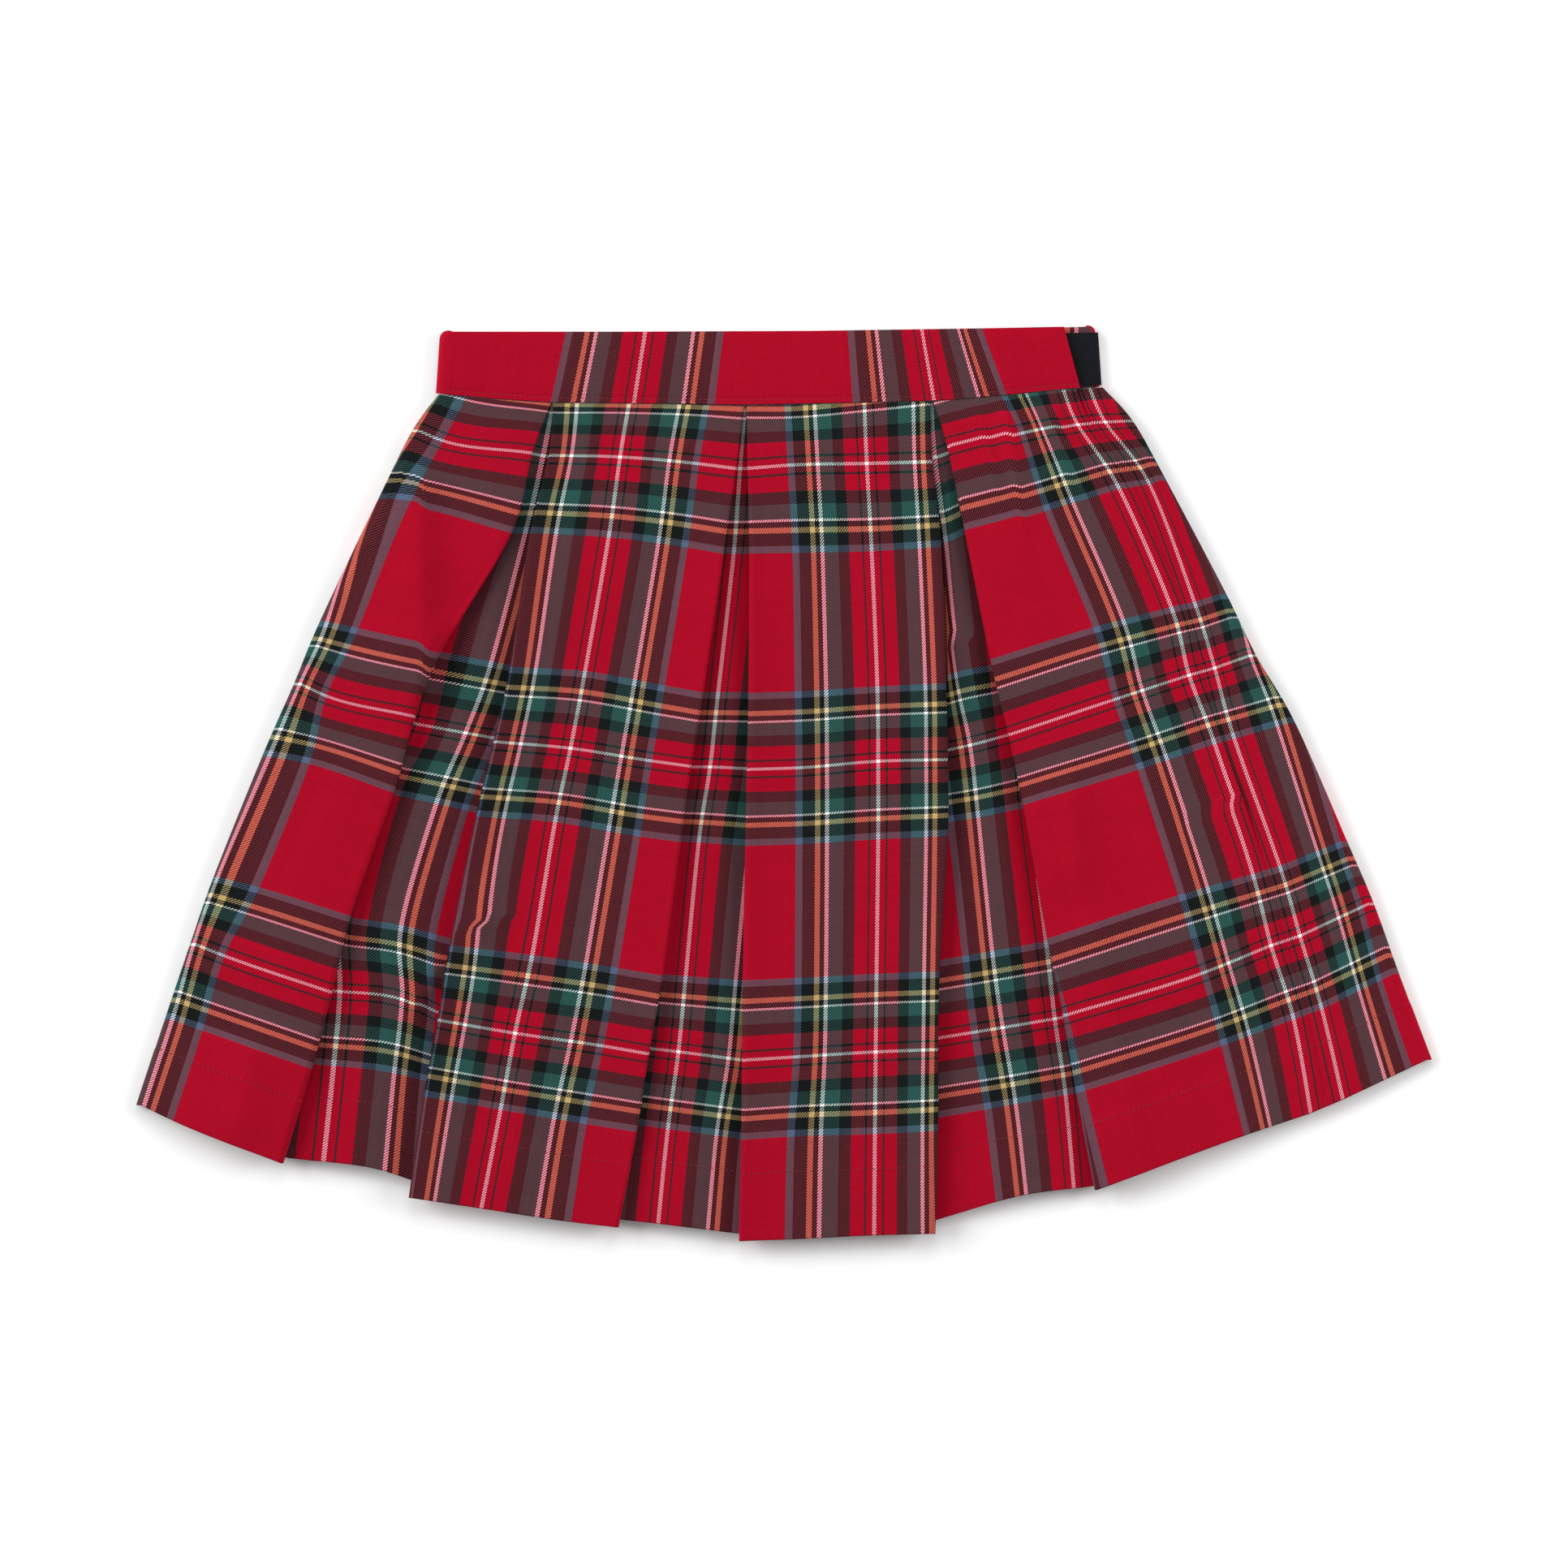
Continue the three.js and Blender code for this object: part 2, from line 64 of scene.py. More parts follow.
# Layers from the lowest: a panel's, its hidden returns' and its insets'
TOP_LAYER = 5
FRONT_LAYERS = (5, 4, 3)
BACK_LAYERS = (0, 1, 2)

# How many layers lower the front's sides lie at the hem, and the strip under the waist seam
HEM_DROP = {"blue": 1.1, "white": 1.5, "edge": 2.6}
STRIP_DIP = 1.2

# Small distances in metres: gaps, what a hidden return is drawn up by, and the least step between two points
EDGE_GAP = 0.0002
SEAM_GAP = 0.0003
SIDE_GAP = 0.00005
RETURN_RAISE = 0.0012
LEFT_SEAM_INSET = 0.0123
LEAST_STEP = 0.0004

# Cloth between each edge's line and the end of its turn under, and on to the left seam, in picture units
LEFT_TURN = 9
RIGHT_TURN = 6
LEFT_SEAM_PAST = 34

# Mesh steps in each run of the cloth
FRONT_COUNTS = {
    "under": 5, "edge": 8, "panel": 24, "return": 4, "tuck": 2, "inset": 9, "last_panel": 28, "seam": 3}
BACK_COUNTS = {"seam": 6, "strip": 12, "edge": 8, "panel": 26, "return": 6, "tuck": 3, "inset": 8}
BAND_COUNTS = {"underlap": 14, "right": 8, "back": 90, "left": 10, "front": 130}
TAPE_COUNTS = {"flat": 12, "turn": 6, "rows": 10}
FOLD_COUNT = 5

# One tartan repeat in picture units. Each level's place down the cloth, from the first white line
REPEAT = 358
LAST_LEVEL = 9
LEVEL_DOWN = (-73, 0, 96, 262, 358, 454, 620, 716, 812, 938)
MIDDLE_LEVEL = 5

# The hem's stitches down the cloth, where the turned-up cloth begins over them, and the mesh rows at both
HEM_STITCH_DOWN = 855
HEM_FROM = HEM_STITCH_DOWN - 3
HEM_FADE = 5
STITCH_ROWS = (-7, -3.5, 0, 3.5, 7)
FINE_LEVELS = 2000
EDGE_ROWS = (2, 5)
LEAST_ROW = 1.5

# How far down the cloth the waist seam cuts it, at places across the picture
SEAM_DOWN = {
    "x": (540, 610, 680, 918, 972, 1030, 1100, 1146, 1200, 1240, 1310, 1360),
    "down": (-60, -68, -72, -75, -76, -73, -66, -63, -52, -47, -45, -42),
}

# Fold and stripe lines of the front. x and y: place in the picture at each level, from the waist seam to the
# hem. u: place across the cloth, one number where the line follows a stripe
FRONT_LINES = {
    "left_edge": {
        "x": (540, 507, 465, 393, 361, 322, 262, 233, 202, 167),
        "y": (485, 531, 615, 766, 843, 932, 1081, 1164, 1256, 1362),
        "u": (67, 61, 69, 43, 45, 45, 49, 51, 48, 50),
    },
    "panel_1_blue": {
        "x": (568, 540, 496, 437, 398, 376, 314, 272, 245, 209),
        "y": (488, 541, 618, 774, 856, 940, 1092, 1176, 1268, 1379),
        "u": 95,
    },
    "panel_1_end": {
        "x": (680, 657, 632, 546, 513, 487, 434, 411, 386, 350),
        "y": (497, 558, 656, 802, 883, 976, 1128, 1222, 1316, 1433),
        "u": (209, 211, 213, 217, 221, 225, 232, 237, 242, 247),
    },
    "inset_1_start": {
        "x": (680, 657, 632, 546, 513, 487, 434, 411, 386, 355),
        "y": (498, 559, 657, 804, 892, 980, 1131, 1221, 1311, 1427),
        "u": (418, 406, 403, 380, 370, 382, 370, 352, 338, 323),
    },
    "inset_1_red": {
        "x": (680, 668, 646, 605, 573, 537, 494, 495, 485, 473),
        "y": (498, 561, 657, 815, 903, 990, 1140, 1230, 1322, 1443),
        "u": 419,
    },
    "inset_1_end": {
        "x": (680, 675, 652, 627, 607, 585, 553, 538, 521, 503),
        "y": (498, 562, 658, 819, 909, 1001, 1156, 1248, 1331, 1453),
        "u": (420, 424, 424, 441, 452, 466, 472, 460, 453, 445),
    },
    "panel_2_start": {
        "x": (680, 675, 652, 627, 607, 585, 553, 538, 521, 503),
        "y": (498, 561, 657, 822, 914, 1006, 1165, 1257, 1351, 1476),
        "u": (628, 628, 627, 624, 623, 623, 623, 623, 623, 623),
    },
    "panel_2_white": {
        "x": (775, 764, 750, 721, 703, 684, 656, 635, 617, 593),
        "y": (497, 563, 662, 827, 922, 1013, 1177, 1273, 1367, 1489),
        "u": 716,
    },
    "panel_2_blue": {
        "x": (870, 857, 843, 815, 799, 784, 757, 739, 718, 699),
        "y": (498, 571, 674, 844, 937, 1030, 1192, 1288, 1384, 1505),
        "u": 811,
    },
    "panel_2_end": {
        "x": (918, 908, 893, 868, 853, 840, 818, 801, 786, 763),
        "y": (500, 577, 682, 853, 944, 1037, 1202, 1298, 1394, 1512),
        "u": (859, 862, 862, 864, 864, 866, 869, 872, 875, 869),
    },
    "inset_2_start": {
        "x": (918, 908, 893, 868, 853, 840, 818, 801, 786, 765),
        "y": (500, 577, 682, 853, 945, 1037, 1201, 1292, 1386, 1503),
        "u": (1073, 1070, 1063, 1057, 1052, 1052, 1047, 1039, 1037, 1028),
    },
    "inset_2_white": {
        "x": (918, 912, 904, 885, 875, 861, 845, 836, 823, 811),
        "y": (500, 577, 682, 853, 945, 1038, 1203, 1296, 1391, 1508),
        "u": 1074,
    },
    "inset_2_end": {
        "x": (919, 920, 922, 921, 919, 917, 914, 913, 912, 908),
        "y": (500, 577, 682, 853, 947, 1042, 1208, 1306, 1403, 1520),
        "u": (1075, 1082, 1092, 1110, 1118, 1130, 1143, 1151, 1166, 1172),
    },
    "panel_3_start": {
        "x": (919, 920, 922, 921, 919, 917, 914, 913, 912, 910),
        "y": (499, 577, 682, 854, 948, 1042, 1208, 1306, 1404, 1529),
        "u": (1284, 1282, 1277, 1275, 1272, 1270, 1268, 1270, 1279, 1281),
    },
    "panel_3_blue": {
        "x": (971, 975, 981, 984, 985, 985, 984, 982, 975, 972),
        "y": (499, 573, 681, 852, 946, 1040, 1205, 1302, 1400, 1527),
        "u": 1337,
    },
    "panel_3_white": {
        "x": (1065, 1068, 1074, 1081, 1082, 1082, 1080, 1079, 1078, 1077),
        "y": (496, 571, 679, 846, 938, 1034, 1200, 1296, 1397, 1522),
        "u": 1432,
    },
    "panel_3_end": {
        "x": (1147, 1150, 1161, 1167, 1169, 1169, 1159, 1157, 1157, 1153),
        "y": (494, 569, 674, 842, 936, 1030, 1197, 1293, 1393, 1520),
        "u": (1512, 1514, 1519, 1518, 1519, 1519, 1511, 1510, 1511, 1506),
    },
    "inset_3_start": {
        "x": (1148, 1150, 1161, 1167, 1169, 1169, 1159, 1157, 1157, 1155),
        "y": (495, 563, 669, 832, 924, 1013, 1183, 1279, 1377, 1503),
        "u": (1728, 1728, 1724, 1712, 1702, 1692, 1662, 1651, 1635, 1617),
    },
    "inset_3_green": {
        "x": (1148, 1152, 1166, 1179, 1196, 1206, 1223, 1236, 1252, 1265),
        "y": (495, 563, 668, 828, 918, 1007, 1172, 1266, 1360, 1472),
        "u": 1729,
    },
    "inset_3_end": {
        "x": (1149, 1168, 1187, 1219, 1241, 1259, 1289, 1308, 1325, 1345),
        "y": (495, 558, 659, 820, 906, 996, 1160, 1254, 1347, 1462),
        "u": (1730, 1745, 1749, 1762, 1774, 1782, 1790, 1798, 1802, 1813),
    },
    "panel_4_start": {
        "x": (1149, 1166, 1187, 1219, 1241, 1259, 1289, 1308, 1325, 1348),
        "y": (496, 550, 653, 812, 905, 991, 1156, 1251, 1346, 1466),
        "u": (1967, 1961, 1943, 1920, 1910, 1901, 1892, 1886, 1882, 1877),
    },
    "panel_4_blue": {
        "x": (1238, 1259, 1291, 1351, 1376, 1406, 1456, 1484, 1509, 1537),
        "y": (488, 532, 628, 772, 861, 947, 1102, 1198, 1287, 1398),
        "u": 2053,
    },
    "panel_4_white": {
        "x": (1310, 1327, 1379, 1443, 1465, 1496, 1544, 1566, 1594, 1615),
        "y": (480, 522, 602, 748, 832, 917, 1077, 1165, 1256, 1372),
        "u": 2148,
    },
    "strip_white": {
        "x": (1343, 1362, 1417, 1472, 1497, 1521, 1577, 1602, 1629, 1655),
        "y": (478, 520, 597, 742, 823, 910, 1067, 1153, 1243, 1355),
        "u": 0,
    },
    "right_edge": {
        "x": (1360, 1397, 1438, 1512, 1549, 1597, 1661, 1694, 1725, 1765),
        "y": (478, 519, 592, 732, 808, 891, 1037, 1114, 1200, 1306),
        "u": (17, 37, 26, 47, 66, 83, 106, 114, 125, 128),
    },
}

# The front's pleats in order: the stripe lines of the panel before each, where it follows any, of its inset
# and of the next panel, and how far each hidden return reaches under its panel at the waist and at the hem
FRONT_PLEATS = (
    {"panel": (), "inset": "inset_1_red", "after": "panel_2_white", "left": (98, 31), "right": (97, 88)},
    {"panel": ("panel_2_white", "panel_2_blue"), "inset": "inset_2_white", "after": "panel_3_blue",
     "left": (104, 77), "right": (102, 52)},
    {"panel": ("panel_3_blue", "panel_3_white"), "inset": "inset_3_green", "after": "panel_4_blue",
     "left": (104, 53), "right": (122, 30)},
)

# Back pleats: each edge as a share of the width at the waist and at the hem, and the returns' reach
BACK_PLEATS = (
    {"right": (0.79, 0.83), "left": (0.788, 0.75), "reach": (100, 45)},
    {"right": (0.53, 0.565), "left": (0.528, 0.47), "reach": (100, 60)},
    {"right": (0.26, 0.3), "left": (0.258, 0.215), "reach": (100, 45)},
)
# The share of the width by which the line beside a back pleat is taken
BESIDE = 0.06
# How far the back's rows sag below the front's edges at each level, and their shape across
BACK_DROP = (17, 49, 74, 98, 114, 124, 140, 154, 163, 170)
BACK_DROP_SHAPE = {
    "at": (0, 0.06, 0.12, 0.21, 0.3, 0.42, 0.5, 0.6, 0.66, 0.74, 0.8, 0.88, 0.95, 1),
    "share": (0, 0.17, 0.32, 0.48, 0.7, 0.9, 0.97, 0.92, 0.8, 0.68, 0.52, 0.3, 0.1, 0),
}

# Waist seam and band, in picture units
WAIST_SEAM = {
    "x": (538, 610, 680, 775, 918, 1066, 1147, 1180, 1238, 1310, 1343, 1360),
    "y": (485, 491.5, 496, 497, 499, 496, 494, 492, 487, 479.5, 477.5, 477),
}
BAND_TOP = {
    "x": (540, 760, 1000, 1200, 1360),
    "y": (409, 409, 408, 405, 402),
}
BAND_LEFT = {"top": 541.5, "bottom": 536.5}
BAND_RIGHT = {"top": 1350, "bottom": 1355}
BAND_FRONT_END = {"top": 1311, "bottom": 1331}
UNDERLAP_END = 1262
TAPE_START = 1283
TAPE_TOP_INSET = 7
TAPE_BOTTOM_INSET = 2
BAND_TALL = 74

# The band's rounded corners, its wall and the tape's, in metres
CORNER_RADIUS = 0.003
BAND_WALL = 0.002
TAPE_WALL = 0.001

# The band's layers by the height of their middles, from the back up, in metres
BAND_BACK_Z = BAND_WALL / 2
UNDERLAP_Z = BAND_BACK_Z + BAND_WALL + SEAM_GAP
TAPE_Z = UNDERLAP_Z + BAND_WALL / 2 + SEAM_GAP + TAPE_WALL / 2
BAND_FRONT_Z = TAPE_Z + TAPE_WALL / 2 + SEAM_GAP + BAND_WALL / 2
UNDERLAP_TURN = (UNDERLAP_Z - BAND_BACK_Z) / 2
FRONT_TURN = (BAND_FRONT_Z - BAND_BACK_Z) / 2

# Mesh rows of the band as shares of its height, and the row that carries its stitches
BAND_ROWS = (0, 0.03, 0.06, 0.09, 0.14, 0.22, 0.32, 0.42, 0.52, 0.62, 0.72, 0.82, 0.9, 0.94, 0.97, 0.99, 1)
BAND_STITCH_ROW = 0.06

# The shell's share of the band's and the tape's wall
STIFF_SHARE = 0.9

# The front band's puff and stitched groove in metres, and the groove's width in picture units
BAND_PUFF = 0.0004
BAND_GROOVE = {"depth": 0.00035, "width": 1.8}

# Dents that the pleats under it press into the band: width in picture units, lift in millimetres. They lean
# by DENT_LEAN from the lower to the top edge, and fade upwards by DENT_FADE
BAND_DENTS = {
    "x": (1258, 1140, 1156, 1172, 1050, 918, 680, 600, 1205),
    "width": (7, 6, 6, 5, 14, 10, 10, 16, 12),
    "lift": (-0.8, 0.4, 0.5, 0.35, -0.3, 0.3, 0.3, -0.25, 0.3),
}
DENT_LEAN = 12
DENT_FADE = 0.55

# Stripes of the band: where a place across the cloth meets its top edge and its lower edge, in picture units
BAND_STRIPES = {
    "u": (-260, -95, 0, 95, 263, 358, 453, 570),
    "top": (540, 702, 795, 887, 1049, 1136, 1205, 1320),
    "bottom": (535, 683, 781, 875, 1056, 1151, 1236, 1345),
}
# Where the underlap's next white line would lie across the picture
UNDERLAP_WHITE = 1388

# Tartan stripes, from the middle of a white line to half a repeat away: where each begins, in picture units.
# The band is cut where the weft is red
STRIPES = {
    "colour": ("white", "red", "black", "red", "black", "green",
               "white", "black", "yellow", "black", "blue", "red"),
    "warp": (0, 2.4, 9.3, 11.8, 27.3, 41, 59.4, 64, 69.5, 76, 90.5, 99.5),
    "weft": (0, 2, 8.9, 11.4, 28, 41.5, 57.6, 61, 67.5, 73, 88, 96),
}
PLAIN_RED = {"colour": ("red", "red"), "weft": (0, 100)}
# Threads in one repeat across and down. They cross two over, two under
WARP_THREADS = 448
WEFT_THREADS = 398

# How strongly light spreads between neighbouring threads
SPREAD = 2.25
# How much unlike reds, and reds against greens, dull each other, and the most that they may
DULL_RED = 2.5
DULL_GREEN = 9
MOST_DULL = 0.6

# Brightness of the cloth, and what yarns, fibres and patches add to it
BRIGHT = {"base": 0.86, "yarn": 0.1, "fibre": 0.14, "patch": 0.1}
# Sizes of the fibres' and the patches' noise, to a repeat, and the weft's place in the yarns' noise
FIBRE_SCALE = 420.0
PATCH_SCALE = 9.0
WEFT_SEED = 7000
# Painted sheen of loose fibre: the pale colour that stands for light caught by the fuzz, the noise level it
# starts from and its strength
FIBRE_SHEEN_COLOUR = (0.5, 0.42, 0.42)
FIBRE_SHEEN_FROM = 0.52
FIBRE_SHEEN_STRENGTH = 0.08
# Relief of the threads and the fibres in metres
THREAD_RELIEF = 0.00007
FIBRE_RELIEF = 0.0001

# The tape's lighter colour, and the sewing thread's painted highlight on its plies
TAPE_LIGHT = (0.016, 0.017, 0.02)
THREAD_PLY_HIGHLIGHT = (0.24, 0.008, 0.018)
# Hooks and fuzz of the tape and twists of the thread, to a metre, and the relief in metres
HOOK_SCALE = 1400.0
FUZZ_SCALE = 500.0
TWIST_SCALE = 900.0
HOOK_RELIEF = 0.0002
FUZZ_RELIEF = 0.0001

# Creases: the share of its length that each fades over at its ends, and its tip's roundness. Then the width
# in which the cloth's lines jump, and how far from the crease the jump dies away, in picture units
CREASE_FADE = 0.25
CREASE_TIP = 0.25
JUMP_WIDTH = 12
JUMP_REACH = 45

# Levels over which the creases begin under the waist seam, and over which the folds spring up. Near the hem
# the folds settle again by a share
CREASES_OVER = 0.6
SPRING_OVER = 2.5
SETTLING = {"from": 5, "over": 4, "share": 0.4}
# How much of its width the springing of an outer panel takes
FIRST_SPRING = 0.8
LAST_SPRING = 0.6

# Faint waves of laid cloth, in metres, and the width in metres from which an inset swells fully
LONG_WAVE = 0.00045
SHORT_WAVE = 0.0002
WIDE_INSET = 0.03

# Stitches: the share of its length that a stitch shows, and of its width that stands above the cloth
STITCH_SHOWS = 0.74
STITCH_STANDS = 0.1
TINY = 1e-5

# The camera's sensor in millimetres, and half the floor's width in metres
SENSOR_WIDTH = 36
FLOOR_SIZE = 4

# Creases on each part, in picture units. lift is the ridge's height, or a trough's depth below zero, in
# millimetres. left and right say how gently it falls away to each side. step and shift, where given, are how
# far the cloth's lines jump across it, down and sideways
CREASES = {
    "panel_1": (
        {"from": (518, 596), "to": (524, 850), "lift": 5.2, "left": 62, "right": 15, "step": -10},
        {"from": (548, 600), "to": (550, 760), "lift": -2.2, "left": 14, "right": 40},
        {"from": (540, 770), "to": (500, 880), "lift": 1.6, "left": 12, "right": 9},
        {"from": (318, 1275), "to": (290, 1410), "lift": 4.0, "left": 55, "right": 34},
        {"from": (420, 900), "to": (330, 1120), "lift": -0.9, "left": 20, "right": 26},
    ),
    "inset_1": (
        {"from": (548, 1180), "to": (498, 1262), "lift": 2.4, "left": 16, "right": 8, "step": 4},
    ),
    "panel_2": (
        {"from": (600, 1080), "to": (588, 1190), "lift": 1.6, "left": 8, "right": 14},
        {"from": (568, 1143), "to": (632, 1130), "lift": 1.4, "left": 9, "right": 16, "shift": -11},
        {"from": (700, 560), "to": (668, 760), "lift": -0.8, "left": 14, "right": 16},
        {"from": (640, 1300), "to": (628, 1478), "lift": 1.0, "left": 16, "right": 12},
    ),
    "panel_3": (
        {"from": (1050, 720), "to": (1052, 1010), "lift": -0.7, "left": 18, "right": 20},
        {"from": (1138, 1350), "to": (1144, 1520), "lift": 1.8, "left": 16, "right": 8},
    ),
    "inset_3": (
        {"from": (1168, 600), "to": (1176, 800), "lift": 1.6, "left": 10, "right": 12},
        {"from": (1150, 790), "to": (1214, 782), "lift": 0.8, "left": 30, "right": 34, "shift": -8},
    ),
    "panel_4": (
        {"from": (1206, 500), "to": (1228, 600), "lift": 2.3, "left": 10, "right": 9, "step": -3},
        {"from": (1238, 496), "to": (1262, 660), "lift": 3.2, "left": 12, "right": 10, "step": -5},
        {"from": (1298, 500), "to": (1322, 610), "lift": 2.4, "left": 12, "right": 9, "step": -3},
        {"from": (1318, 950), "to": (1330, 1090), "lift": 4.2, "left": 46, "right": 13},
        {"from": (1342, 1110), "to": (1408, 1440), "lift": 3.6, "left": 40, "right": 17},
        {"from": (1470, 1006), "to": (1570, 972), "lift": 1.2, "left": 26, "right": 26, "shift": -8},
        {"from": (1475, 610), "to": (1585, 745), "lift": 1.5, "left": 14, "right": 12},
    ),
    "back_1": (
        {"from": (1490, 700), "to": (1530, 1050), "lift": 1.3, "left": 22, "right": 16},
    ),
    "back_2": (
        {"from": (1176, 620), "to": (1164, 930), "lift": 1.2, "left": 18, "right": 24},
        {"from": (1158, 1150), "to": (1190, 1400), "lift": 1.4, "left": 26, "right": 18},
    ),
    "back_3": (
        {"from": (818, 640), "to": (802, 980), "lift": 1.1, "left": 16, "right": 22},
        {"from": (800, 1200), "to": (772, 1440), "lift": 1.3, "left": 22, "right": 26},
    ),
    "back_4": (
        {"from": (502, 700), "to": (468, 980), "lift": 1.3, "left": 26, "right": 18},
        {"from": (420, 1050), "to": (362, 1290), "lift": 1.5, "left": 20, "right": 28},
    ),
}


def length(name, description, default):
    """A property that holds a length in metres."""
    return bpy.props.FloatProperty(name=name, description=description, default=default, unit="LENGTH")


def colour(name, description, default):
    """A property that holds a colour."""
    return bpy.props.FloatVectorProperty(
        name=name, description=description, default=default, subtype="COLOR", size=3)


def power(name, description, default):
    """A property that holds a light's power in watts."""
    return bpy.props.FloatProperty(name=name, description=description, default=default, unit="POWER")


class SkirtCloth(bpy.types.PropertyGroup):
    """Sizes of the cloth and its threads."""

    thickness: length("Thickness", "How thick one layer of the cloth is", 0.0006)
    hem_thickness: length("Hem thickness", "How thick the turned-up hem is", 0.001)
    row_step: length("Row step", "Distance between mesh rows", 0.0042)
    fold_lift: length("Fold lift", "How far the panels spring up beside their folds", 0.0042)
    inset_swell: length("Inset swell", "How far the pleats' insets bulge up between the panels", 0.0024)
    stitch_length: length("Stitch length", "Length of one stitch", 0.0026)
    stitch_width: length("Stitch width", "Width of the sewing thread", 0.0004)


class SkirtColours(bpy.types.PropertyGroup):
    """Colours of the tartan's threads, the tape and the sewing thread."""

    red: colour("Red", "The field", (0.385, 0.001, 0.0165))
    green: colour("Green", "Broad stripes", (0.021, 0.08, 0.07))
    black: colour("Black", "Dark stripes", (0.006, 0.008, 0.008))
    blue: colour("Blue", "Outer stripes", (0.085, 0.118, 0.2))
    yellow: colour("Yellow", "Fine stripes", (0.55, 0.38, 0.15))
    white: colour("White", "Fine stripes", (0.9, 0.89, 0.86))
    tape: colour("Tape", "Touch-fastening tape", (0.006, 0.0065, 0.008))
    thread: colour("Sewing thread", "Stitches of the hem and the band", (0.2, 0.004, 0.013))


class SkirtStudio(bpy.types.PropertyGroup):
    """The floor, the lights and the camera."""

    floor: colour("Floor", "Colour of the floor", (0.97, 0.97, 0.97))
    camera_lens: bpy.props.FloatProperty(
        name="Lens", description="Focal length in millimetres", default=300.0)
    picture_width: length("Picture width", "Width of floor that the picture takes in", UNIT * PICTURE_SIZE)
    left_light: power("Left light", "Power of the main light, past the left side", 265.0)
    right_light: power("Right light", "Power of the light past the right side", 20.0)
    top_light: power("Top light", "Power of the light past the waist", 13.0)
    sky: bpy.props.FloatProperty(
        name="Sky", description="Strength of the even light from all sides", default=0.33)


def smooth(values, level):
    """A smooth value, or row of values, through numbers that stand one level apart."""
    i = min(int(level), len(values) - 2)
    t = level - i
    a, b, c, d = (values[k] for k in (max(i - 1, 0), i, i + 1, min(i + 2, len(values) - 1)))
    return b + 0.5 * t * (c - a + t * (2 * a - 5 * b + 4 * c - d + t * (3 * (b - c) + d - a)))


def look_up(table, source, target, at):
    """The value of column target where column source is at."""
    return float(np.interp(at, table[source], table[target]))


def mix(a, b, t):
    """The value a share t of the way from a to b."""
    return a + (b - a) * t


def ease(t):
    """A smooth step from 0 to 1."""
    t = min(max(t, 0.0), 1.0)
    return t * t * (3 - 2 * t)


def to_x(x):
    """Metres from the origin to a place across the picture."""
    return (x - MIDDLE_X) * UNIT


def to_y(y):
    """Metres from the origin to a place down the picture."""
    return (MIDDLE_Y - y) * UNIT


def picture_x(x):
    return x / UNIT + MIDDLE_X


def picture_y(y):
    return MIDDLE_Y - y / UNIT


def place(x, y, z, across=0, down=0):
    """A point of the cloth: where it lies, and its place across and down the cloth in picture units."""
    return np.array((x, y, z, across, down), dtype=float)


def down_at(level, x):
    """Place down the cloth at a level, where x is across the picture."""
    return smooth((look_up(SEAM_DOWN, "x", "down", x), *LEVEL_DOWN[1:]), level)


def spacing(level):
    """Height from one layer's middle to the next."""
    return mix(PRESSED_SPACING, LOOSE_SPACING, level / LAST_LEVEL)


def fold_reach(level):
    """How far a fold's round outside and its gap stand past its middle."""
    return spacing(level) / 2 + WALL / 2 + EDGE_GAP


def layer_height(layer, level):
    """Height of a layer's middle."""
    return WALL / 2 + layer * spacing(level)


def lowered(drop, level):
    """Height of the front where it lies some layers lower at the hem."""
    return layer_height(TOP_LAYER - drop * (level / LAST_LEVEL) ** 2, level)


def line(name, level, z):
    """The point of a named line at a level."""
    row = FRONT_LINES[name]
    x = smooth(row["x"], level)
    across = row["u"] if isinstance(row["u"], int) else smooth(row["u"], level)
    return place(to_x(x), to_y(smooth(row["y"], level)), z, across, down_at(level, x))


def seam_y(x):
    """Y of the waist seam at x."""
    return to_y(look_up(WAIST_SEAM, "x", "y", picture_x(x)))


def back_line(share, level, z, across):
    """The back's point at a share of its width."""
    left = line("left_edge", level, z)
    right = line("right_edge", level, z)
    point = mix(left, right, share)
    point[1] -= smooth(BACK_DROP, level) * look_up(BACK_DROP_SHAPE, "at", "share", share) * UNIT
    point[3] = across
    point[4] = smooth(LEVEL_DOWN, level)
    return point


class Section:
    """The line of the cloth across the skirt at one level, as points and the part that each belongs to."""

    def __init__(self, start, part):
        self.points = [start]
        self.parts = [part]

    def add(self, point, part):
        self.points.append(point)
        self.parts.append(part)

    def run(self, end, count, part):
        """A straight run to a point."""
        start = self.points[-1]
        for i in range(1, count + 1):
            self.add(mix(start, end, i / count), part)

    def curve(self, ends, count, part):
        """A smooth run through several points, with count steps between each two."""
        through = np.array([self.points[-1], *ends])
        spans = np.hypot(*np.diff(through[:, :2], axis=0).T)
        rates = np.diff(through, axis=0) / spans[:, None]
        slopes = np.vstack([rates[:1], rates[-1:]])
        if len(spans) > 1:
            first, second = spans[:-1, None], spans[1:, None]
            middle = (rates[:-1] * second + rates[1:] * first) / (first + second)
            slopes = np.vstack([rates[:1], middle, rates[-1:]])
        for k, span in enumerate(spans):
            leaving, arriving = slopes[k] - rates[k], slopes[k + 1] - rates[k]
            for i in range(1, count + 1):
                t = i / count
                bend = t * (1 - t) * ((1 - t) * leaving - t * arriving) * span
                self.add(mix(through[k], through[k + 1], t) + bend, part)

    def fold(self, z, heading, part, count=FOLD_COUNT):
        """A half-round fold to the height z. heading is 1 where it bulges to +X."""
        start = self.points[-1]
        radius = (z - start[2]) / 2
        across = abs(radius) * math.pi / UNIT
        for i in range(1, count + 1):
            angle = math.pi * i / count
            point = start.copy()
            point[0] += heading * abs(radius) * math.sin(angle)
            point[2] += radius * (1 - math.cos(angle))
            point[3] += across * i / count
            self.add(point, part)


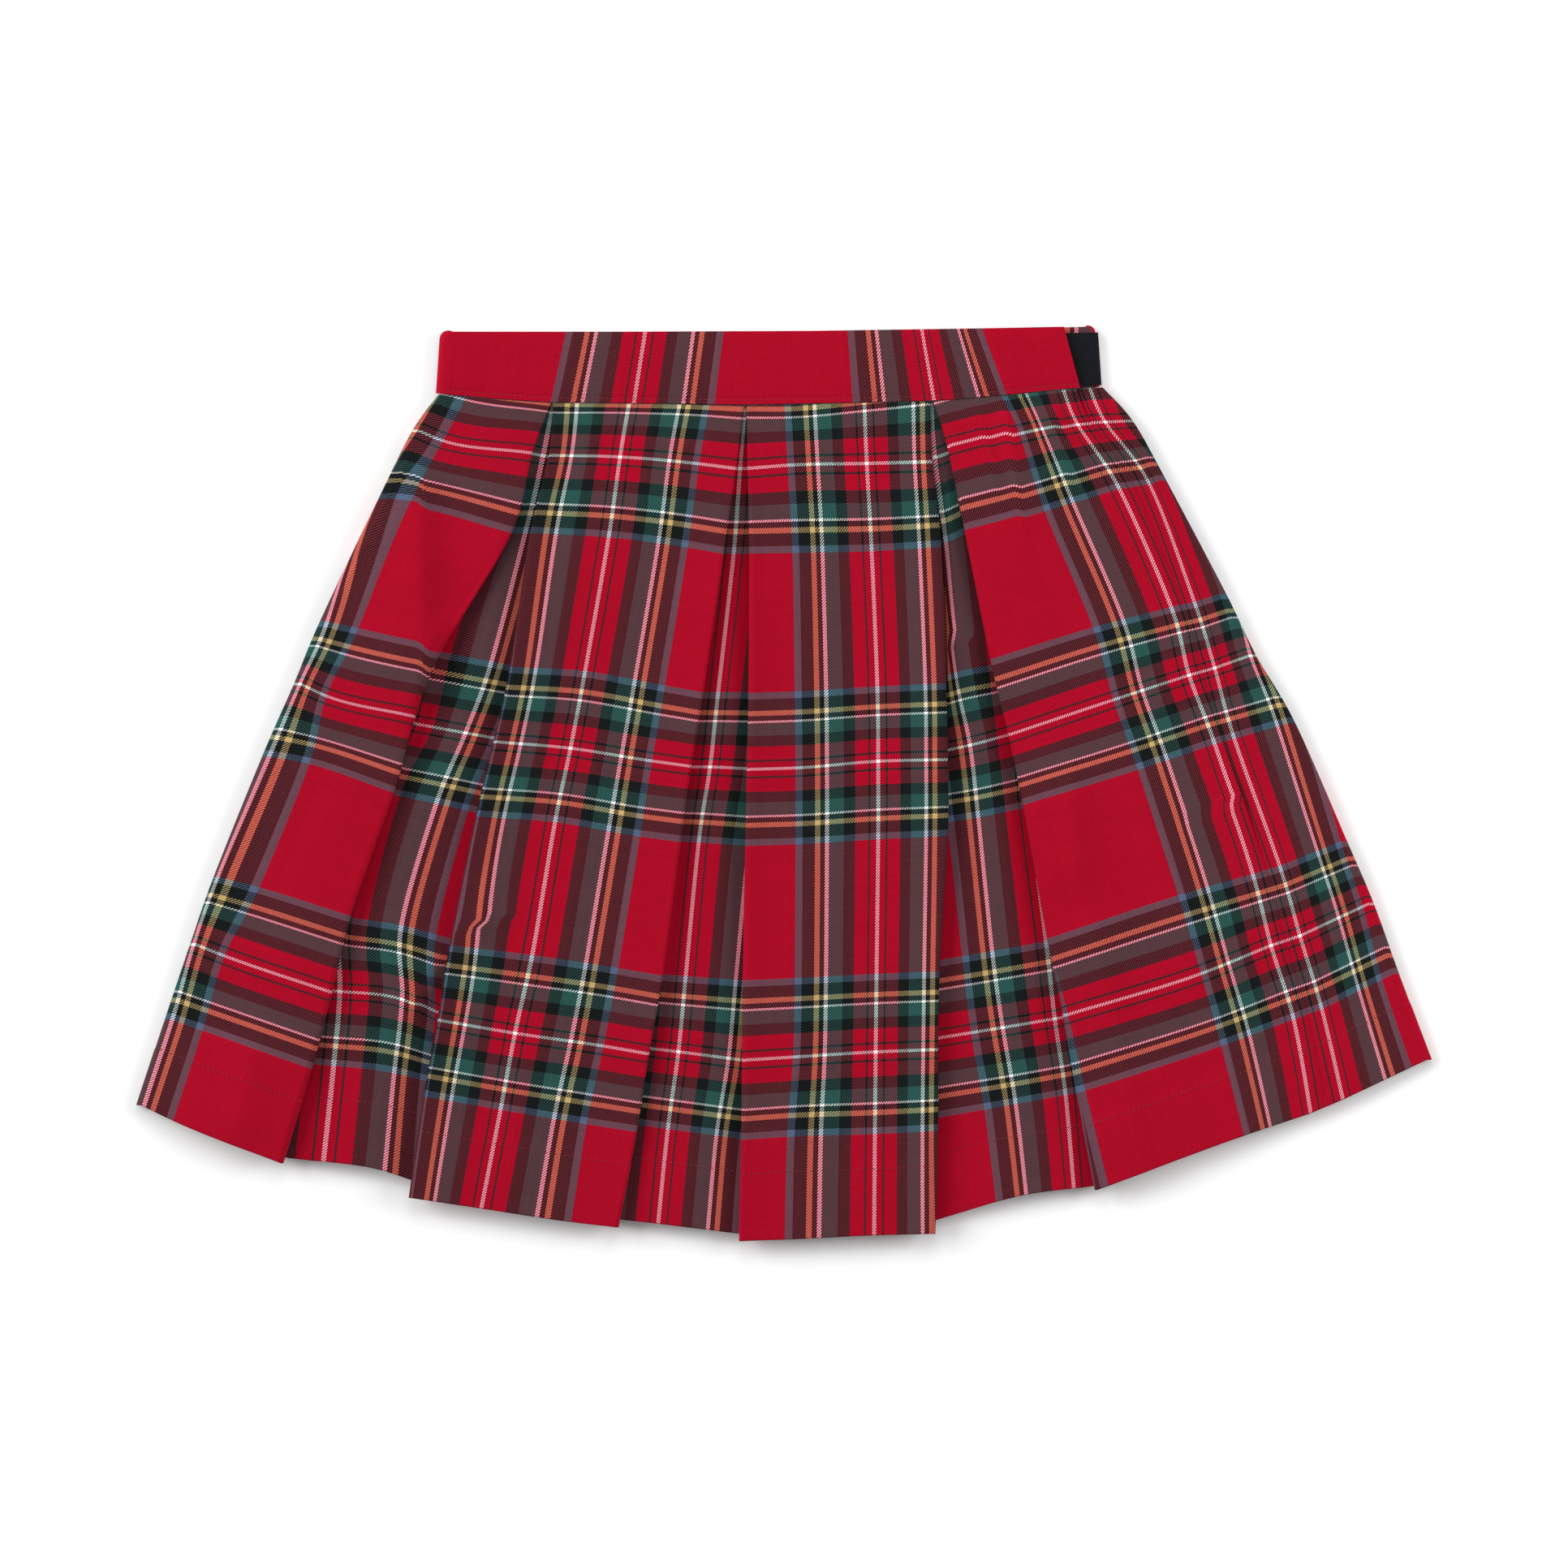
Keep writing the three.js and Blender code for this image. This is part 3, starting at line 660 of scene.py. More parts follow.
def add_pleat(section, shape, heading, layers, level, number, counts):
    """One box pleat: fold, hidden return, fold, inset, fold, hidden return, fold."""
    edge = fold_reach(level)
    panel_z, return_z, inset_z = (layer_height(layer, level) for layer in layers)
    end, inset, start = shape["end"], shape["inset"], shape["start"]
    before, after = shape["before"], shape["after"]
    left_slope = (end[1] - before[1]) / (end[0] - before[0])
    right_slope = (after[1] - start[1]) / (after[0] - start[0])
    section.fold(return_z, heading, "fold")
    x = end[0] - heading * (edge + shape["left"])
    y = end[1] - left_slope * heading * shape["left"] + RETURN_RAISE
    inner = place(x, y, return_z, mix(end[3], inset[0][3], 0.5), end[4])
    section.run(inner, counts["return"], "hidden")
    section.fold(inset_z, -heading, "hidden")
    # Each point of the inset stands past the one before it
    least = heading * section.points[-1][0]
    stops = []
    for point in inset:
        least = max(heading * point[0], least + LEAST_STEP)
        stops.append(place(heading * least, *point[1:]))
    section.run(stops[0], counts["tuck"], "hidden")
    section.curve(stops[1:], counts["inset"], f"inset_{number}")
    x = start[0] + heading * (edge + shape["right"])
    y = start[1] + right_slope * heading * shape["right"] + RETURN_RAISE
    outer = place(x, y, inset_z, mix(inset[-1][3], start[3], 0.5), start[4])
    section.run(outer, counts["tuck"], "hidden")
    section.fold(return_z, heading, "hidden")
    folded = place(start[0] + heading * edge, start[1], return_z, *start[3:])
    section.run(folded, counts["return"], "hidden")
    section.fold(panel_z, -heading, "fold")
    section.points[-1][3] = start[3]


def reach(pair, level):
    """Metres that a hidden return reaches under its panel, from its values at the waist and at the hem."""
    return mix(pair[0], pair[1], level / LAST_LEVEL) * UNIT


def side_seam(level, z):
    """The side seam, midway between the white lines beside it."""
    return mix(line("panel_4_white", level, z), line("strip_white", level, z), 0.5)


def on_waist_seam(section, level):
    """The top row follows the waist seam."""
    if level == 0:
        for point in section.points:
            point[1] = seam_y(point[0]) - EDGE_GAP
    return section


def front_section(level):
    """The front from its hidden left seam, round the left edge and across to the side seam."""
    top = layer_height(TOP_LAYER, level)
    bottom = layer_height(0, level)
    edge = line("left_edge", level, lowered(HEM_DROP["edge"], level))
    turn_x = edge[0] + (edge[2] - bottom) / 2 + WALL / 2
    width = line("right_edge", level, 0)[0] - edge[0]
    seam = back_line(LEFT_SEAM_INSET / width, level, bottom, edge[3] - LEFT_SEAM_PAST)
    seam[4] = edge[4]
    section = Section(seam, "hidden")
    under = edge.copy()
    under[0], under[2], under[3] = turn_x, bottom, edge[3] - LEFT_TURN
    section.run(under, FRONT_COUNTS["under"], "hidden")
    section.fold(edge[2], -1, "edge", FRONT_COUNTS["edge"])
    white_z = lowered(HEM_DROP["white"], level)
    blue = line("panel_1_blue", level, white_z)
    blue[0] = max(blue[0], turn_x + LEAST_STEP)
    inset_z = layer_height(FRONT_LAYERS[-1], level)
    for number, pleat in enumerate(FRONT_PLEATS, 1):
        # The first panel has only its blue line, which lies lower
        panel = [line(name, level, top) for name in pleat["panel"]] or [blue]
        end = line(f"panel_{number}_end", level, top)
        at_fold = end.copy()
        at_fold[0] -= fold_reach(level)
        section.curve([*panel, at_fold], FRONT_COUNTS["panel"], f"panel_{number}")
        inset = (f"inset_{number}_start", pleat["inset"], f"inset_{number}_end")
        add_pleat(section, {
            "end": end,
            "before": panel[-1],
            "inset": [line(name, level, inset_z) for name in inset],
            "start": line(f"panel_{number + 1}_start", level, top),
            "after": line(pleat["after"], level, top),
            "left": reach(pleat["left"], level),
            "right": reach(pleat["right"], level),
        }, 1, FRONT_LAYERS, level, number, FRONT_COUNTS)
    blue = line("panel_4_blue", level, lowered(HEM_DROP["blue"], level))
    white = line("panel_4_white", level, white_z)
    section.curve([blue, white], FRONT_COUNTS["last_panel"], "panel_4")
    end = side_seam(level, white_z)
    end[0] -= SIDE_GAP / 2
    end[3] = white[3] + (end[0] - white[0]) / UNIT
    section.run(end, FRONT_COUNTS["seam"], "panel_4")
    return on_waist_seam(section, level)


def back_section(level):
    """The back from the side seam, round the right edge and across to the hidden left seam."""
    dip = STRIP_DIP * max(0.0, 1 - level) * spacing(level)
    top = lowered(HEM_DROP["white"], level) - dip
    edge_z = lowered(HEM_DROP["edge"], level) - dip
    bottom = layer_height(0, level)
    edge = line("right_edge", level, edge_z)
    turn_x = edge[0] - (edge_z - bottom) / 2 - WALL / 2
    start = side_seam(level, top)
    start[0] += SIDE_GAP / 2
    white = line("strip_white", level, top)
    start[3] = (start[0] - white[0]) / UNIT
    white[0] = min(white[0], mix(start[0], turn_x, 0.7))
    section = Section(start, "strip")
    section.run(white, BACK_COUNTS["seam"], "strip")
    at_turn = edge.copy()
    at_turn[0], at_turn[3] = turn_x, edge[3] - RIGHT_TURN
    section.run(at_turn, BACK_COUNTS["strip"], "strip")
    section.fold(bottom, 1, "edge", BACK_COUNTS["edge"])
    last, across = section.points[-1][0], section.points[-1][3]
    inset_z = layer_height(BACK_LAYERS[-1], level)
    for number, pleat in enumerate(BACK_PLEATS, 1):
        shares = [mix(*pleat[side], level / LAST_LEVEL) for side in ("right", "left")]
        depth = reach(pleat["reach"], level)
        right = back_line(shares[0], level, bottom, 0)
        across += (last - right[0]) / UNIT
        right[3] = across
        at_fold = right.copy()
        at_fold[0] += fold_reach(level)
        section.run(at_fold, BACK_COUNTS["panel"], f"back_{number}")
        inset = [back_line(share, level, inset_z, 0) for share in shares]
        inset[0][3] = across + 2 * depth / UNIT
        inset[1][3] = inset[0][3] + (inset[0][0] - inset[1][0]) / UNIT
        left = back_line(shares[1], level, bottom, inset[1][3] + 2 * depth / UNIT)
        add_pleat(section, {
            "end": right,
            "before": back_line(shares[0] + BESIDE, level, bottom, 0),
            "inset": inset,
            "start": left,
            "after": back_line(shares[1] - BESIDE, level, bottom, 0),
            "left": depth,
            "right": depth,
        }, -1, BACK_LAYERS, level, number, BACK_COUNTS)
        last, across = left[0], left[3]
    width = edge[0] - line("left_edge", level, 0)[0]
    end = back_line((LEFT_SEAM_INSET + SEAM_GAP) / width, level, bottom, 0)
    end[3] = across + (last - end[0]) / UNIT
    section.run(end, BACK_COUNTS["panel"], "back_4")
    return on_waist_seam(section, level)


def crease_shape(crease, x, y):
    """How much of a crease stands at a picture place, and which share of its jump the cloth has made."""
    ax, ay = crease["from"]
    bx, by = crease["to"]
    length = math.hypot(bx - ax, by - ay)
    ux, uy = (bx - ax) / length, (by - ay) / length
    along = (x - ax) * ux + (y - ay) * uy
    aside = (x - ax) * uy - (y - ay) * ux
    fade = CREASE_FADE * length
    window = ease((along + fade) / (2 * fade)) * ease((length + fade - along) / (2 * fade))
    # A rounded tip, then a fall that grows gentler with distance
    reach = aside / (crease["right"] if aside > 0 else crease["left"])
    fall = math.exp(CREASE_TIP - math.hypot(reach, CREASE_TIP))
    jump = (ease(0.5 + aside / JUMP_WIDTH) - 0.5) * math.exp(-abs(aside) / JUMP_REACH)
    return window * fall, window * jump


def lift_at(part, x, y):
    """How far soft creases lift the cloth, in metres, and the jumps of its lines, across and down."""
    lift, shift, step = 0.0, 0.0, 0.0
    for crease in CREASES.get(part, ()):
        height, jump = crease_shape(crease, x, y)
        lift += crease["lift"] * MILLIMETRE * height
        shift += crease.get("shift", 0) * jump
        step += crease.get("step", 0) * jump
    return lift, shift, step


def wave(x, y):
    """A faint unevenness that all laid cloth has, in metres."""
    long = math.sin(x / 41 + y / 210 + 0.6) * math.sin(y / 127 + 1.1)
    short = math.sin(x / 19 - y / 83 + 2.0) * math.sin(y / 61 + x / 170)
    return LONG_WAVE * long + SHORT_WAVE * short


def spring_share(part, across):
    """The share of the folds' spring that a panel has across its width: most beside its folds."""
    if part == "panel_1":
        return ease(across / FIRST_SPRING)
    if part == "panel_4":
        return ease((1 - across) / LAST_SPRING)
    return 0.5 + 0.5 * (2 * across - 1) ** 4


def swell(height, at, first, last):
    """How far an inset bulges up between its ends. Narrow ones stay flatter."""
    width = abs(last - first)
    share = abs(at - first) / max(width, LEAST_STEP / 4)
    return height * math.sin(math.pi * share) * min(width / WIDE_INSET, 1.0)


def dress(section, level, cloth):
    """Adds creases, waves and the springing of the folds to a section."""
    begun = ease(level / CREASES_OVER)
    settled = SETTLING["share"] * ease((level - SETTLING["from"]) / SETTLING["over"])
    spring = cloth.fold_lift * ease(level / SPRING_OVER) * (1 - settled)
    top, below = layer_height(TOP_LAYER, level), layer_height(TOP_LAYER - 1, level)
    ends = {}
    for point, part in zip(section.points, section.parts):
        ends.setdefault(part, [point[0], point[0]])[1] = point[0]
    for point, part in zip(section.points, section.parts):
        x, y = picture_x(point[0]), picture_y(point[1])
        if part.startswith(("panel", "inset", "strip")):
            first, last = ends[part]
            lift, shift, step = lift_at(part, x, y)
            point[3] += shift
            point[4] += step
            raised = lift + wave(x, y)
            if part.startswith("panel"):
                raised += spring * spring_share(part, (point[0] - first) / (last - first))
            elif part.startswith("inset"):
                raised += swell(cloth.inset_swell, point[0], first, last)
            point[2] += raised * begun
        elif part.startswith("back"):
            point[2] += lift_at(part, x, y)[0] * begun
        elif part == "fold" and point[2] > below:
            point[2] += spring * begun * (point[2] - below) / (top - below)
    return section


def level_rows(step):
    """Levels of the mesh's rows, closer together at the hem's stitches and edge."""
    fine = np.linspace(0, LAST_LEVEL, FINE_LEVELS)
    down = np.array([smooth(LEVEL_DOWN, level) for level in fine])
    count = int((down[-1] - down[0]) * UNIT / step)
    wanted = set(np.linspace(down[0], down[-1], count))
    wanted |= {HEM_STITCH_DOWN + offset for offset in STITCH_ROWS}
    wanted |= {down[-1] - offset for offset in EDGE_ROWS}
    ordered = sorted(wanted)
    kept = [ordered[0]]
    for value in ordered[1:]:
        if value - kept[-1] > LEAST_ROW:
            kept.append(value)
    kept[-1] = down[-1]
    return [float(np.interp(value, down, fine)) for value in kept]


def new_piece(name, bm):
    """An object with the mesh that bmesh has made."""
    mesh = bpy.data.meshes.new(name)
    bm.to_mesh(mesh)
    bm.free()
    piece = bpy.data.objects.new(name, mesh)
    bpy.context.scene.collection.objects.link(piece)
    return piece


def sheet_object(name, sections):
    """A cloth shell: a bmesh grid laid on the sections, with the cloth's place in its UV map."""
    rows, columns = len(sections), len(sections[0].points)
    bm = bmesh.new()
    bmesh.ops.create_grid(bm, x_segments=columns - 1, y_segments=rows - 1, size=1)
    uv = bm.loops.layers.uv.new("cloth")
    places = {}
    for vertex in bm.verts:
        column = round((vertex.co.x + 1) / 2 * (columns - 1))
        row = round((1 - vertex.co.y) / 2 * (rows - 1))
        point = sections[row].points[column]
        places[vertex] = (point[3] / REPEAT, point[4] / REPEAT)
        vertex.co = Vector(point[:3])
    for face in bm.faces:
        face.smooth = True
        for loop in face.loops:
            loop[uv].uv = places[loop.vert]
    return new_piece(name, bm)


def solidify(piece, thickness, thin_share=None):
    """Gives the shell its thickness, and the cloth above its turned-up hem only a share of it."""
    shell = piece.modifiers.new("thickness", "SOLIDIFY")
    shell.thickness = thickness
    shell.offset = 0
    shell.use_even_offset = False
    if thin_share is not None:
        group = piece.vertex_groups.new(name="hem")
        uv = piece.data.uv_layers["cloth"].data
        downs = {}
        for loop in piece.data.loops:
            downs[loop.vertex_index] = uv[loop.index].uv[1] * REPEAT
        for index, down in downs.items():
            group.add([index], mix(thin_share, 1.0, ease((down - HEM_FROM) / HEM_FADE)), "REPLACE")
        shell.vertex_group = "hem"


def round_edges(piece, width, segments):
    """Rounds the outer edges of a stiff piece."""
    bevel = piece.modifiers.new("rounded edges", "BEVEL")
    bevel.width = width
    bevel.segments = segments
    bevel.limit_method = "ANGLE"
    bevel.angle_limit = math.radians(60)


class Nodes:
    """A material's node tree. One method adds any node, and short ones set up those that recur."""

    def __init__(self, name):
        self.material = bpy.data.materials.new(name)
        self.material.use_nodes = True
        self.tree = self.material.node_tree
        self.shader = self.tree.nodes["Principled BSDF"]

    def add(self, kind, settings=None, inputs=None, output=0):
        """Adds a node, makes its settings and fills its sockets with values or links."""
        node = self.tree.nodes.new(kind)
        for key, value in (settings or {}).items():
            if key == "stops":
                self.stops(node.color_ramp, value)
            else:
                setattr(node, key, value)
        for key, value in (inputs or {}).items():
            self.fill(node.inputs[key], value)
        return Value(self, node.outputs[output])

    def stops(self, ramp, rows):
        """Sets a colour ramp's stops."""
        ramp.interpolation = "CONSTANT"
        while len(ramp.elements) < len(rows):
            ramp.elements.new(0.5)
        for element, row in zip(ramp.elements, rows):
            element.position = row[0]
        for element, row in zip(ramp.elements, rows):
            element.color = (*row[1], 1)

    def fill(self, socket, value):
        if isinstance(value, Value):
            self.tree.links.new(value.socket, socket)
        else:
            socket.default_value = value

    def set(self, sockets):
        """Sets or links the shader's own sockets."""
        for name, value in sockets.items():
            self.fill(self.shader.inputs[name], value)

    def parts(self, vector):
        """A vector's three components."""
        node = self.tree.nodes.new("ShaderNodeSeparateXYZ")
        self.fill(node.inputs[0], vector)
        return [Value(self, output) for output in node.outputs]

    def noise(self, spot, scale, detail):
        """Soft noise."""
        return self.add("ShaderNodeTexNoise", {}, {"Vector": spot, "Scale": scale, "Detail": detail})

    def yarn(self, thread):
        """A random number for each thread."""
        return self.add("ShaderNodeTexWhiteNoise", {"noise_dimensions": "1D"}, {"W": thread})

    def bump(self, relief, strength):
        """The normal of a relief in metres."""
        return self.add("ShaderNodeBump", {}, {"Height": relief, "Strength": strength, "Distance": 1.0})

    def gamma(self, colour, power):
        """A colour to a power."""
        return self.add("ShaderNodeGamma", {}, {"Color": colour, "Gamma": power})

    def mix_colour(self, share, first, second, blend="MIX"):
        """Mixes two colours."""
        node = self.tree.nodes.new("ShaderNodeMix")
        node.data_type = "RGBA"
        node.blend_type = blend
        sockets = {socket.identifier: socket for socket in node.inputs}
        self.fill(sockets["Factor_Float"], share)
        for key, colour in (("A_Color", first), ("B_Color", second)):
            self.fill(sockets[key], colour if isinstance(colour, Value) else (*colour, 1))
        outputs = {socket.identifier: socket for socket in node.outputs}
        return Value(self, outputs["Result_Color"])


class Value:
    """A node's output that Python expressions can work with."""

    def __init__(self, nodes, socket):
        self.nodes = nodes
        self.socket = socket

    def math(self, operation, *others, first=None):
        values = [self, *others] if first is None else [first, self]
        return self.nodes.add("ShaderNodeMath", {"operation": operation}, dict(enumerate(values)))

    def __add__(self, other):
        return self.math("ADD", other)

    __radd__ = __add__

    def __sub__(self, other):
        return self.math("SUBTRACT", other)

    def __rsub__(self, other):
        return self.math("SUBTRACT", first=other)

    def __mul__(self, other):
        return self.math("MULTIPLY", other)

    __rmul__ = __mul__

    def __truediv__(self, other):
        return self.math("DIVIDE", other)

    def __lt__(self, other):
        return self.math("LESS_THAN", other)

    def floor(self):
        return self.math("FLOOR")

    def fraction(self):
        return self.math("FRACT")

    def size(self):
        return self.math("ABSOLUTE")

    def sine(self):
        return self.math("SINE")

    def clamped(self, least, most):
        return self.math("MAXIMUM", least).math("MINIMUM", most)


def stripe_colour(nodes, turns, stripes, direction, colours):
    """The thread colour at a place that is counted in tartan repeats from a white line."""
    share = ((turns + 0.5).fraction() - 0.5).size() * 2
    starts = zip(stripes[direction], stripes["colour"])
    stops = [(2 * start / REPEAT, getattr(colours, name)) for start, name in starts]
    return nodes.add("ShaderNodeValToRGB", {"stops": stops}, {"Fac": share})


def tartan_material(name, weft_stripes=STRIPES):
    """Twill tartan: two threads over, two under, with coloured warp and weft threads."""
    colours = bpy.context.scene.skirt_colours
    nodes = Nodes(name)
    place_on_cloth = nodes.add("ShaderNodeUVMap", {"uv_map": "cloth"})
    across, down, _ = nodes.parts(place_on_cloth)
    warp_thread = (across * WARP_THREADS).floor()
    weft_thread = (down * WEFT_THREADS).floor()
    warp_on_top = ((warp_thread + weft_thread) / 4 + 0.001).fraction() < 0.5
    warp = stripe_colour(nodes, (warp_thread + 0.5) / WARP_THREADS, STRIPES, "warp", colours)
    weft = stripe_colour(nodes, (weft_thread + 0.5) / WEFT_THREADS, weft_stripes, "weft", colours)
    # Light spreads between neighbouring fibres, so threads of unlike colours darken each other
    mean = nodes.mix_colour(0.5, weft, warp)
    spread = nodes.mix_colour(0.5, nodes.gamma(weft, 1 / SPREAD), nodes.gamma(warp, 1 / SPREAD))
    shaded = nodes.mix_colour(1.0, nodes.gamma(spread, SPREAD), mean, "DIVIDE")
    colour = nodes.mix_colour(warp_on_top, weft, warp)
    colour = nodes.mix_colour(1.0, colour, shaded, "MULTIPLY")
    # Threads of opposite hues, such as red and green, also dull each other
    gap = nodes.add("ShaderNodeVectorMath", {"operation": "SUBTRACT"}, {0: warp, 1: weft})
    red, green, _ = nodes.parts(gap)
    dull = (red * red * DULL_RED - red * green * DULL_GREEN).clamped(0, MOST_DULL)
    colour = nodes.mix_colour(dull, colour, nodes.add("ShaderNodeRGBToBW", {}, {"Color": colour}))
    # Yarns differ a little from one to the next, and loose fibre on the cloth gets a faint painted sheen
    fibre = nodes.noise(place_on_cloth, FIBRE_SCALE, 3.0)
    patch = nodes.noise(place_on_cloth, PATCH_SCALE, 2.0)
    bright = BRIGHT["base"] + BRIGHT["yarn"] * nodes.yarn(warp_thread)
    bright = bright + BRIGHT["yarn"] * nodes.yarn(weft_thread + WEFT_SEED)
    bright = bright + BRIGHT["fibre"] * (fibre - 0.5) + BRIGHT["patch"] * (patch - 0.5)
    shade = nodes.add("ShaderNodeCombineColor", {}, {0: bright, 1: bright, 2: bright})
    colour = nodes.mix_colour(1.0, colour, shade, "MULTIPLY")
    # Painted sheen: a pale colour mixed in where the fibre noise is high, standing for light caught by loose
    # fuzz
    painted_fibre_sheen = ((fibre - FIBRE_SHEEN_FROM) * FIBRE_SHEEN_STRENGTH).math("MAXIMUM", 0.0)
    colour = nodes.mix_colour(painted_fibre_sheen, colour, FIBRE_SHEEN_COLOUR)
    warp_round = ((across * WARP_THREADS).fraction() * math.pi).sine()
    weft_round = ((down * WEFT_THREADS).fraction() * math.pi).sine()
    thread = warp_on_top * warp_round + (1 - warp_on_top) * weft_round
    relief = thread * THREAD_RELIEF + (fibre - 0.5) * FIBRE_RELIEF
    nodes.set({"Base Color": colour, "Normal": nodes.bump(relief, 0.8), "Roughness": 0.86,
               "Specular IOR Level": 0.05, "Sheen Weight": 0.015, "Sheen Roughness": 0.5})
    return nodes.material


def tape_material():
    """Black touch-fastening tape: a dense field of tiny hooks on a woven base."""
    colours = bpy.context.scene.skirt_colours
    nodes = Nodes("black_tape")
    spot = nodes.add("ShaderNodeTexCoord", output="Object")
    hooks = nodes.add("ShaderNodeTexVoronoi", {}, {"Vector": spot, "Scale": HOOK_SCALE})
    fuzz = nodes.noise(spot, FUZZ_SCALE, 4.0)
    colour = nodes.mix_colour(fuzz * 0.5, colours.tape, TAPE_LIGHT)
    relief = (1 - hooks) * HOOK_RELIEF + fuzz * FUZZ_RELIEF
    nodes.set({"Base Color": colour, "Normal": nodes.bump(relief, 0.7), "Roughness": 0.9,
               "Specular IOR Level": 0.06, "Sheen Weight": 0.01})
    return nodes.material


def thread_material():
    """Red sewing thread, twisted, with a painted highlight on its plies."""
    colours = bpy.context.scene.skirt_colours
    nodes = Nodes("sewing_thread")
    spot = nodes.add("ShaderNodeTexCoord", output="Object")
    sockets = {"Vector": spot, "Scale": TWIST_SCALE, "Distortion": 2.0}
    # Painted highlight: lighter bands across the plies stand for light on their ridges
    ply_highlight = nodes.add("ShaderNodeTexWave", {}, sockets, output="Fac")
    nodes.set({"Base Color": nodes.mix_colour(ply_highlight * 0.5, colours.thread, THREAD_PLY_HIGHLIGHT), "Roughness": 0.6})
    return nodes.material


def band_height(x, share):
    """Y on the band: share 0 lies just over the waist seam and share 1 is its top edge."""
    top = to_y(look_up(BAND_TOP, "x", "y", picture_x(x)))
    return mix(seam_y(x) + SEAM_GAP, top, share)


def corner_inset(share):
    """How far the rounded top corners draw the band's ends in."""
    height = BAND_TALL * UNIT
    above = max(0.0, share * height - (height - CORNER_RADIUS))
    return CORNER_RADIUS - math.sqrt(max(CORNER_RADIUS ** 2 - above ** 2, 0.0))


def band_end(ends, share):
    """X of a slanting end at a share of the band's height."""
    return to_x(mix(ends["bottom"], ends["top"], share))


def band_stripe(x, share):
    """Place across the cloth at x on the band."""
    places = [mix(low, high, share) for low, high in zip(BAND_STRIPES["bottom"], BAND_STRIPES["top"])]
    return float(np.interp(picture_x(x), places, BAND_STRIPES["u"]))


def band_relief(x, share):
    """The front band's puff, its stitched groove and the dents that the pleats under it press into it."""
    puff = BAND_PUFF * math.sin(math.pi * share) ** 0.5
    from_groove = (share - BAND_STITCH_ROW) * BAND_TALL / BAND_GROOVE["width"]
    groove = -BAND_GROOVE["depth"] * math.exp(-(from_groove ** 2))
    dents = 0.0
    for at, width, lift in zip(*BAND_DENTS.values()):
        aside = (x - at + DENT_LEAN * (share - 0.5)) / width
        dents += lift * MILLIMETRE * math.exp(-(aside ** 2))
    return puff + groove + dents * (1 - DENT_FADE * share)


def band_section(share):
    """The band's line at a share of its height: underlap, right turn, back, left turn, front end."""
    left = band_end(BAND_LEFT, share) + corner_inset(share)
    right = band_end(BAND_RIGHT, share) - corner_inset(share)
    section = Section(place(to_x(UNDERLAP_END), 0, UNDERLAP_Z), "underlap")
    at_right = place(right - UNDERLAP_TURN - BAND_WALL / 2, 0, UNDERLAP_Z)
    section.run(at_right, BAND_COUNTS["underlap"], "underlap")
    section.fold(BAND_BACK_Z, 1, "edge", BAND_COUNTS["right"])
    at_left = place(left + FRONT_TURN + BAND_WALL / 2, 0, BAND_BACK_Z)
    section.run(at_left, BAND_COUNTS["back"], "back")
    section.fold(BAND_FRONT_Z, -1, "edge", BAND_COUNTS["left"])
    at_end = place(band_end(BAND_FRONT_END, share), 0, BAND_FRONT_Z)
    section.run(at_end, BAND_COUNTS["front"], "front")
    travelled = [0.0]
    for a, b in zip(section.points, section.points[1:]):
        travelled.append(travelled[-1] + math.dist(a[:3], b[:3]) / UNIT)
    turned = section.parts.index("front")
    seam_across = band_stripe(section.points[turned][0], share) - travelled[turned]
    for point, part, way in zip(section.points, section.parts, travelled):
        x = point[0]
        point[1] = band_height(x, share)
        point[3] = seam_across + way
        point[4] = REPEAT / 2 + (0.5 - share) * BAND_TALL
        if part == "front":
            point[2] += band_relief(picture_x(x), share)
            point[3] = band_stripe(x, share)
        elif part == "underlap":
            point[3] = picture_x(x) - UNDERLAP_WHITE
    return section


def tape_section(tape_share):
    """The tape's line on the underlap, bent a little way round the right turn."""
    share = mix(TAPE_BOTTOM_INSET, BAND_TALL - TAPE_TOP_INSET, tape_share) / BAND_TALL
    centre = band_end(BAND_RIGHT, share) - UNDERLAP_TURN - BAND_WALL / 2
    radius = TAPE_Z - UNDERLAP_Z + UNDERLAP_TURN
    section = Section(place(to_x(TAPE_START), 0, TAPE_Z), "tape")
    section.run(place(centre, 0, TAPE_Z), TAPE_COUNTS["flat"], "tape")
    middle = (UNDERLAP_Z + BAND_BACK_Z) / 2
    for i in range(1, TAPE_COUNTS["turn"] + 1):
        angle = math.pi / 2 * i / TAPE_COUNTS["turn"]
        section.add(place(centre + radius * math.sin(angle), 0, middle + radius * math.cos(angle)), "tape")
    for point in section.points:
        point[1] = band_height(point[0], share)
    return section


def finish_piece(piece, material, node):
    """Gives a piece its material and its place in the frame."""
    piece.data.materials.append(material)
    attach(piece, "root")
    if node:
        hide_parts(node)


def stitch_object(name, rows, cloth):
    """Stitches as short rounded threads, one stitch length apart along each row of points."""
    bm = bmesh.new()
    size = (cloth.stitch_length * STITCH_SHOWS, cloth.stitch_width, cloth.stitch_width)
    for points in rows:
        travelled = 0.0
        for a, b in zip(points, points[1:]):
            start, end = Vector(a), Vector(b)
            along = end - start
            length = along.length
            if length < TINY:
                continue
            turn = along.to_track_quat("X", "Z").to_matrix().to_4x4()
            while travelled < length:
                centre = start + along * (travelled / length)
                made = bmesh.ops.create_icosphere(bm, subdivisions=1, radius=0.5)["verts"]
                bmesh.ops.scale(bm, vec=size, verts=made)
                bmesh.ops.transform(bm, matrix=turn, verts=made)
                bmesh.ops.translate(bm, vec=centre, verts=made)
                travelled += cloth.stitch_length
            travelled -= length
    for face in bm.faces:
        face.smooth = True
    return new_piece(name, bm)


